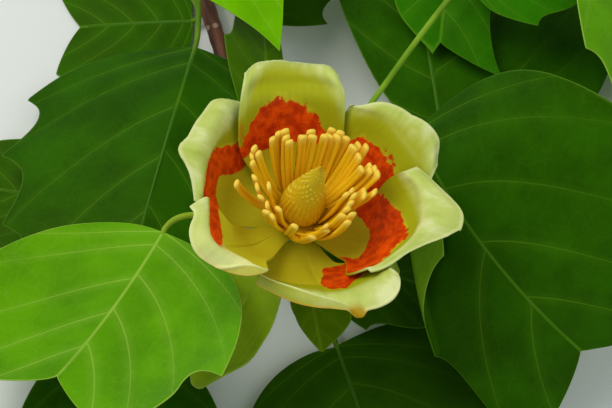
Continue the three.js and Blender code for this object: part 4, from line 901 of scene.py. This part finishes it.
def rolledLip(petal, u, v):
    # past rollFrom the lip is shortened to its share and turns away from the flower's inside: on an arc of
    # radius R = bent / roll, moved by (R sin a - d) along the petal and -R (1 - cos a) off it at a = d / R,
    # and then straight on
    start, share, roll = (acrossPetal(petal, key, u) for key in ("rollFrom", "lipShare", "roll"))
    held = np.where(v > start, start + (v - start) * share, v)
    points = petalPoint(petal, u, held)
    past = np.maximum(0, held - start) * petal["length"]
    bent = petal["bend"] * (1 - start) * share * petal["length"]
    place = np.arange(points.shape[1])
    row = (start[0] * (len(points) - 1)).astype(int)
    along = unit(points[row, place] - points[row - 2, place])[None]
    outOf = gridNormals(points)[row - 1, place][None]
    roll = np.radians(roll)
    radius, onArc = bent / roll, np.minimum(past, bent)
    forward = radius * np.sin(onArc / radius) + (past - onArc) * np.cos(roll)
    down = radius * (1 - np.cos(onArc / radius)) + (past - onArc) * np.sin(roll)
    return points + along * (forward - past)[..., None] - outOf * down[..., None]


def makePetal(name, petal, seed, slot, materials):
    # the petal's surface with its lip rolled over, its margins turned out and ruffled, and a low keel; each
    # stain is a bump exp(-(du / ru)^4 - (dv / rv)^2). Ripeness runs 0.40 and 0.65 at the band's edges and 0.85
    # where the lip begins
    detail, isPetal = petalDetail, slot == "petal"
    v, u = np.meshgrid(np.linspace(0, 1, detail["rows"]), np.linspace(1, -1, detail["columns"]), indexing="ij")
    points = rolledLip(petal, u, v)
    normals = gridNormals(points)
    side = np.abs(u)
    crest, share, fold, hollow, glow, green, cream, tinge = (acrossPetal(petal, key, u) for key in (
        "rollFrom", "lipShare", "fold", "hollowTo", "glow", "green", "cream", "tinge"))
    toTip = (1 - v) * petal["length"] * np.where(v > crest, share, 1.0)
    nearTip = ease(detail["rim"] - toTip, 0.0, detail["rim"])
    nearSide = over("edgeAcross", side) * over("edgeAlong", v)
    edge = np.clip(np.maximum(nearTip, nearSide), 0, 1) * over("edgeShare", share)
    turnedOut = -detail["marginRoll"] * edge ** 2 * (1.0 if isPetal else 0.2)
    ruffle = detail["ruffle"] * edge * wave(u, v, seed, 5, 0.5, 1.3)
    swell = detail["swell"] * wave(u, v, seed + 30, 4, 0.3, 0.9) * over("swell", v)
    ridge = detail["ridge"] * np.sin(u * detail["ridges"] + 2 * wave(u, v, seed + 60, 3, 0.3, 0.8))
    ridge = ridge * over("ridge", v)
    keel = -detail["keel"] * bell(u, detail["keelWidth"]) * over("keelFrom", v) * over("keelTo", v)
    creaseAt, depth = petal["crease"]
    crease = -detail["crease"] * depth * bell(v - creaseAt + 0.03 * u * u, detail["creaseWidth"])
    crease = crease * over("crease", 1 - side)
    tan, hang = np.zeros(u.shape), np.zeros(u.shape)
    for atU, atV, spreadU, spreadV, length in petal["stains"]:
        spot = np.exp(-((u - atU) / spreadU) ** 4 - ((v - atV) / spreadV) ** 2)
        tan, hang = tan + spot, hang + length * spot
    foldAt, hasFold = crest + fold * (1 - crest), over("fold", 1.15 - fold)
    folded = detail["foldRise"] * bell(v - foldAt, detail["foldWidth"]) * hasFold
    along = unit(np.gradient(points, axis=0))
    points = points + normals * (turnedOut + ruffle + swell + ridge + keel + crease + folded * isPetal)[..., None]
    points = points + along * hang[..., None]
    uv = np.stack([u * petal["width"] / 100 + seed, v * petal["length"] / 50], -1)
    low, high = (acrossPetal(petal, key, u, "bandAt", (0,)) for key in ("bandLow", "bandHigh"))
    lip = np.maximum(mix(crest, 1.0, hollow), high + 0.02)
    ripe = np.select([v < low, v < high, v < lip], [
        0.40 * v / low, 0.40 + 0.25 * (v - low) / np.maximum(high - low, 0.01),
        0.65 + 0.20 * (v - high) / (lip - high)], 0.85 + 0.15 * (v - lip) / (1 - lip))
    margin = np.maximum(over("paleAcross", side) * over("paleAlong", v), over("paleTip", 2.5 - toTip))
    # the painted highlight runs just past the fold, or just past the crest where the lip has no fold
    ridgeAt = np.where(hasFold > 0, foldAt, crest) + 0.01
    # beyond is the lip past its fold; green lays painted shade over it there
    beyond = ease(v, foldAt + 0.01, foldAt + 0.05) * hasFold
    glow, green = glow * bell(v - ridgeAt - 0.005, detail["glowWidth"]), green * beyond
    cream = cream * ease(v, crest, crest + 0.06) * (1 - beyond)
    tinge = tinge * np.maximum(over("tip", v), petal["gild"] * beyond)
    marks = {"margin": margin * (1 - green), "ripe": ripe, "seed": np.full(u.shape, seed * 1.7),
             "band": over("band", high - low), "tan": np.clip(1.8 * tan, 0, 1),
             "glow": np.maximum(glow, cream), "green": green, "tinge": tinge}
    addSurface(name + "_blade", [(fromFlower(points), uv)], materials, name, marks, wall=detail["thickness"])


# clusters are (azimuth, half spread, count); reach is how far out a tip stands at each angle round the flower;
# elbow is where a path bends, outwards, upwards and aside, as shares for a straight and for a hooked stamen;
# each scatter is a random draw's spread
stamens = {
    "inner": 5.3, "outer": 6.9, "foot": 3.2, "width": 2.8, "thickness": 1.35, "length": 23.5, "rows": 34, "sides": 16,
    "shortAt": -97, "shortSpread": 17, "shortBy": 0.5, "filament": (0.5, 0.45), "groove": 0.55, "taper": 0.14,
    "point": 0.15, "leastReach": 9.0, "innerReach": 0.88, "fullHook": 8,
    "elbow": ((0.62, 1.1), (0.38, 0.25), (0.3, 0.3)),
    "lengths": (0.94, 1.03), "swings": (0.6, 1.1), "widths": (0.85, 1.05), "azimuthScatter": 1.2,
    "reachScatter": 0.5, "swingScatter": 0.8, "twistScatter": 0.3, "filamentEnd": (0.08, 0.18),
    "taperFrom": 0.975, "grooveWidth": 0.26, "grooveEnds": (0.02, 0.12),
    "clusters": ((-172, 8, 4), (-146, 8, 3), (-124, 7, 3), (-98, 9, 3), (-76, 8, 3), (-52, 7, 3), (-30, 7, 4),
                 (-8, 7, 3), (14, 6, 4), (34, 8, 5), (61, 11, 6), (91, 6, 4), (120, 9, 5), (154, 8, 4)),
    "around": (-180, -172, -163, -149, -130, -112, -84, -67, -50, -30, -10, 12, 22, 34, 52, 78, 92, 113, 148, 165,
               180),
    "reach": (20, 15.5, 14.2, 17.5, 16.5, 13, 12, 15.5, 15, 13, 17, 21, 18, 21, 18.5, 17, 13.5, 16, 17.5, 19.5, 20),
    "swingAt": (-180, -125, -105, -75, -50, -25, 180), "swing": (0, 0, 6, 8, 5, 0, 0),
    "ring": [(4.5, 1.9), (7.6, 2.5), (7.7, 4.2), (7.3, 4.6), (4.9, 4.6), (4.5, 4.3), (4.5, 1.9)]}


def oneStamen(rng, degrees, seat, inside):
    # a strap carried along a quadratic path that leaves outwards and then stands up, its tip at
    # rise = foot + sqrt(length^2 - (reach - seat)^2): a lens section with a groove down each face, on a thin
    # filament, ending in a small blunt point
    own, sides = stamens, stamens["sides"]
    t, turn = column(own["rows"]), circle(sides)[None, :]
    at = (degrees + 180) % 360 - 180
    reach = np.interp(at, own["around"], own["reach"]) * inside + rng.normal(0, own["reachScatter"])
    reach = max(reach, own["leastReach"])
    short = math.exp(-((at - own["shortAt"]) / own["shortSpread"]) ** 2)
    length = own["length"] * (1 - own["shortBy"] * short) * rng.uniform(*own["lengths"])
    swing = np.interp(at, own["swingAt"], own["swing"]) * rng.uniform(*own["swings"])
    swing += rng.normal(0, own["swingScatter"])
    start = np.array([seat, own["foot"], 0.0])
    tip = np.array([reach, own["foot"] + math.sqrt(max(length ** 2 - (reach - seat) ** 2, 1.0)), swing])
    hooked = min(1.0, abs(swing) / own["fullHook"])
    middle = start + (tip - start) * np.array([mix(*shares, hooked) for shares in own["elbow"]])
    path = (1 - t) ** 2 * start + 2 * t * (1 - t) * middle + t * t * tip
    tangent = unit(np.gradient(path, axis=0))
    sideAxis = unit(np.array([0.0, 0.0, 1.0]) - tangent * tangent[:, 2:3])
    face = np.cross(sideAxis, tangent)
    shade = rng.uniform(0, 1)
    filament, taper = ease(t, *own["filamentEnd"]), 1 - own["taper"] * ease(t, own["taperFrom"], 1.0)
    broad = mix(own["filament"][0], own["width"] / 2 * rng.uniform(*own["widths"]), filament) * taper
    thick = mix(own["filament"][1], own["thickness"] / 2, filament) * taper
    groove = bell(np.cos(turn), own["grooveWidth"]) * (filament * ease(1 - t, *own["grooveEnds"]))
    depth = thick * np.sin(turn) * (1 - own["groove"] * groove)
    sideStep, faceStep = turned(broad * np.cos(turn), depth, rng.normal(0, own["twistScatter"]) * t)
    local = path[:, None] + sideStep[..., None] * sideAxis[:, None] + faceStep[..., None] * face[:, None]
    out, up, away = np.moveaxis(local, -1, 0)
    points, uv = capped(np.stack([*turned(out, away, math.radians(degrees)), up], -1), wrapUv(sides, t))
    points[-1] += unit(points[-2].mean(0) - points[-4].mean(0)) * own["point"]
    along, ends = np.concatenate([t[:1], t, t[-1:]]) * np.ones(sides), np.zeros((1, sides))
    return (fromFlower(points), uv), (along, shade + 0 * along, np.concatenate([ends, groove, ends]))


def makeStamens():
    # the clusters' stamens, by turns from the outer and the inner seat, over the turned ring that holds them
    rng = np.random.default_rng(12)
    pairs = []
    for centre, spread, count in stamens["clusters"]:
        for i in range(count):
            degrees = centre + spread * (2 * i / (count - 1) - 1) + rng.normal(0, stamens["azimuthScatter"])
            seat, inside = (stamens["inner"], stamens["innerReach"]) if i % 2 else (stamens["outer"], 1.0)
            pairs.append(oneStamen(rng, degrees, seat, inside))
    ring = lathe(stamens["ring"], 64, 10)
    pairs.append((ring, [np.full(ring[0].shape[:2], value) for value in (0.0, 0.3, 0.0)]))
    marks = {mark: np.concatenate([values[k].ravel() for _, values in pairs])
             for k, mark in enumerate(("along", "own", "groove"))}
    addSurface("stamen_whorl", [grid for grid, _ in pairs], [finishes["stamen"]], "stamens", marks,
               closed=True)


cone = {"foot": 4.9, "height": 26.0, "rows": 270, "columns": 306, "relief": 0.22, "bow": 2.6,
        "profile": ((0, 0), (4.7, 0), (6.1, 1.5), (6.5, 4), (5.9, 8), (4.8, 12), (3.7, 16), (2.5, 20), (1.3, 23.5),
                    (0, 26)),
        "smooth": 21, "smoothFrom": 5, "smoothTo": 3, "spirals": ((17, 3.6), (11, -2.6)), "drift": 2.4,
        "ribs": 0.14, "ribCount": 26, "scaly": (6.0, 12.0), "sharpness": 0.7, "lift": 0.5}


def makeCone():
    # a turned profile, bowed to the right as the square of its height, with small uneven carpels where two
    # families of wandering spirals (their number, their rise in a turn) cross, crest = cos^2(p / 2)
    # cos^2(q / 2), fading into ribs low down
    radii, heights = np.array(cone["profile"], float).T
    along = running(np.hypot(np.diff(heights), np.diff(radii)))
    at = np.linspace(0, along[-1], cone["rows"])
    h, r = np.interp(at, along, heights), np.interp(at, along, radii)
    kernel = np.ones(cone["smooth"]) / cone["smooth"]
    smoothR = np.convolve(np.pad(r, cone["smooth"] // 2, mode="edge"), kernel, "valid")
    r = np.where((at > cone["smoothFrom"]) & (at < along[-1] - cone["smoothTo"]), smoothR, r)
    a, z = np.meshgrid(circle(cone["columns"]), h, indexing="xy")
    ringX, ringY = 0.3 * np.cos(a), 0.3 * np.sin(a)
    drift, sway = wave(ringX + z / 20, ringY, 71, 6, 0.8, 2.6), wave(ringX, ringY + z / 20, 72, 6, 0.8, 2.6)
    p, q = (count * a + 2 * math.pi * z / rise + cone["drift"] * moved
            for (count, rise), moved in zip(cone["spirals"], (drift, sway)))
    uneven = 0.65 + 0.75 * wave(ringX + z / 9, ringY, 73, 6, 1, 5)
    crest = np.clip((0.5 + 0.5 * np.cos(p)) * (0.5 + 0.5 * np.cos(q)) * uneven, 0, 1)
    scaly = ease(z + 2 * drift, *cone["scaly"]) * (1 - 0.4 * ease(z, cone["height"] - 3, cone["height"]))
    ribs = cone["ribs"] * np.cos(cone["ribCount"] * a + 1.5 * drift) * ease(z, 0.5, 3.0) * (1 - scaly)
    rr = r[:, None] + (crest ** cone["sharpness"] - 0.3) * cone["relief"] * scaly + ribs
    zz = z + crest * cone["lift"] * scaly
    points = np.stack([rr * np.cos(a) + cone["bow"] * (zz / cone["height"]) ** 2, rr * np.sin(a),
                       zz + cone["foot"]], -1)
    points[0], points[-1] = points[0].mean(0), points[-1].mean(0)
    uv = wrapUv(cone["columns"], h[:, None] / 40)
    addSurface("carpel_cone_pebbled", [(fromFlower(points), uv)], [finishes["cone"]], "carpel_cone",
               {"crest": crest * scaly, "scaly": scaly}, closed=True)


makeTwig()
makeFlowerStalk()
print("wood made")
for index, (name, leaf) in enumerate(leaves.items()):
    makeLeaf(name, leaf, 3 + index)
print("leaves made")
for index, (name, petal) in enumerate(petals.items()):
    makePetal(name, petal, 21 + index, "petal", [finishes["petalInside"], finishes["petalOutside"]])
for index, (name, sepal) in enumerate(sepals.items()):
    makePetal(name, sepal, 41 + index, "sepal", [finishes["sepal"]] * 2)
makeStamens()
makeCone()
print("flower made")

# ---- floor, light and camera

# powers in watts, colours linear, lens and film in millimetres; eye and target too
studio = {"floor": 3.0, "floorColour": "#e4e8e2", "skyColour": (0.92, 0.96, 1.0, 1.0), "sky": 0.42,
          "key": ((-0.55, 0.35, 1.25), 12.0, 0.9, (1.0, 0.98, 0.94)),
          "fill": ((0.9, -0.5, 0.9), 3.0, 1.2, (0.93, 0.97, 1.0)), "aim": (0, 0, 0.05),
          "target": (-12.578, -50.607, 84.426), "eye": (-12.578, -416.67, 906.62), "lens": 189.0, "film": 36.0}


def addFloor():
    # a plain pale plane, large enough to fill every view
    mesh = bpy.data.meshes.new("floor")
    size = studio["floor"]
    mesh.from_pydata([(-size, -size, 0), (size, -size, 0), (size, size, 0), (-size, size, 0)], [], [(0, 1, 2, 3)])
    finish = Finish("pale floor", studio["floorColour"], 0.85)
    finish.shader.inputs["Base Color"].default_value = finish.base
    mesh.materials.append(finish.material)
    floor = addObject("floor", mesh)


def aim(thing, place, target):
    # stands at its place and looks along target - place
    thing.location = place
    thing.rotation_euler = (Vector(target) - Vector(place)).to_track_quat("-Z", "Y").to_euler()


def addArea(name, place, power, size, colour):
    # a square lamp that looks at the part
    light = bpy.data.lights.new(name, "AREA")
    light.energy, light.size, light.color = power, size, colour
    aim(addObject(name, light), place, studio["aim"])


addFloor()
addArea("key light", *studio["key"])
addArea("fill light", *studio["fill"])
world = bpy.data.worlds.new("soft sky")
world.use_nodes = True
sky = world.node_tree.nodes["Background"].inputs
sky[0].default_value, sky[1].default_value = studio["skyColour"], studio["sky"]
bpy.context.scene.world = world
bpy.context.scene.view_settings.view_transform = "Standard"

camera = addObject("camera", bpy.data.cameras.new("camera"))
camera.data.lens, camera.data.sensor_width, camera.data.clip_end = studio["lens"], studio["film"], 20.0
aim(camera, *(Vector(studio[key]) * millimetre for key in ("eye", "target")))
bpy.context.scene.camera = camera

bpy.context.view_layer.update()
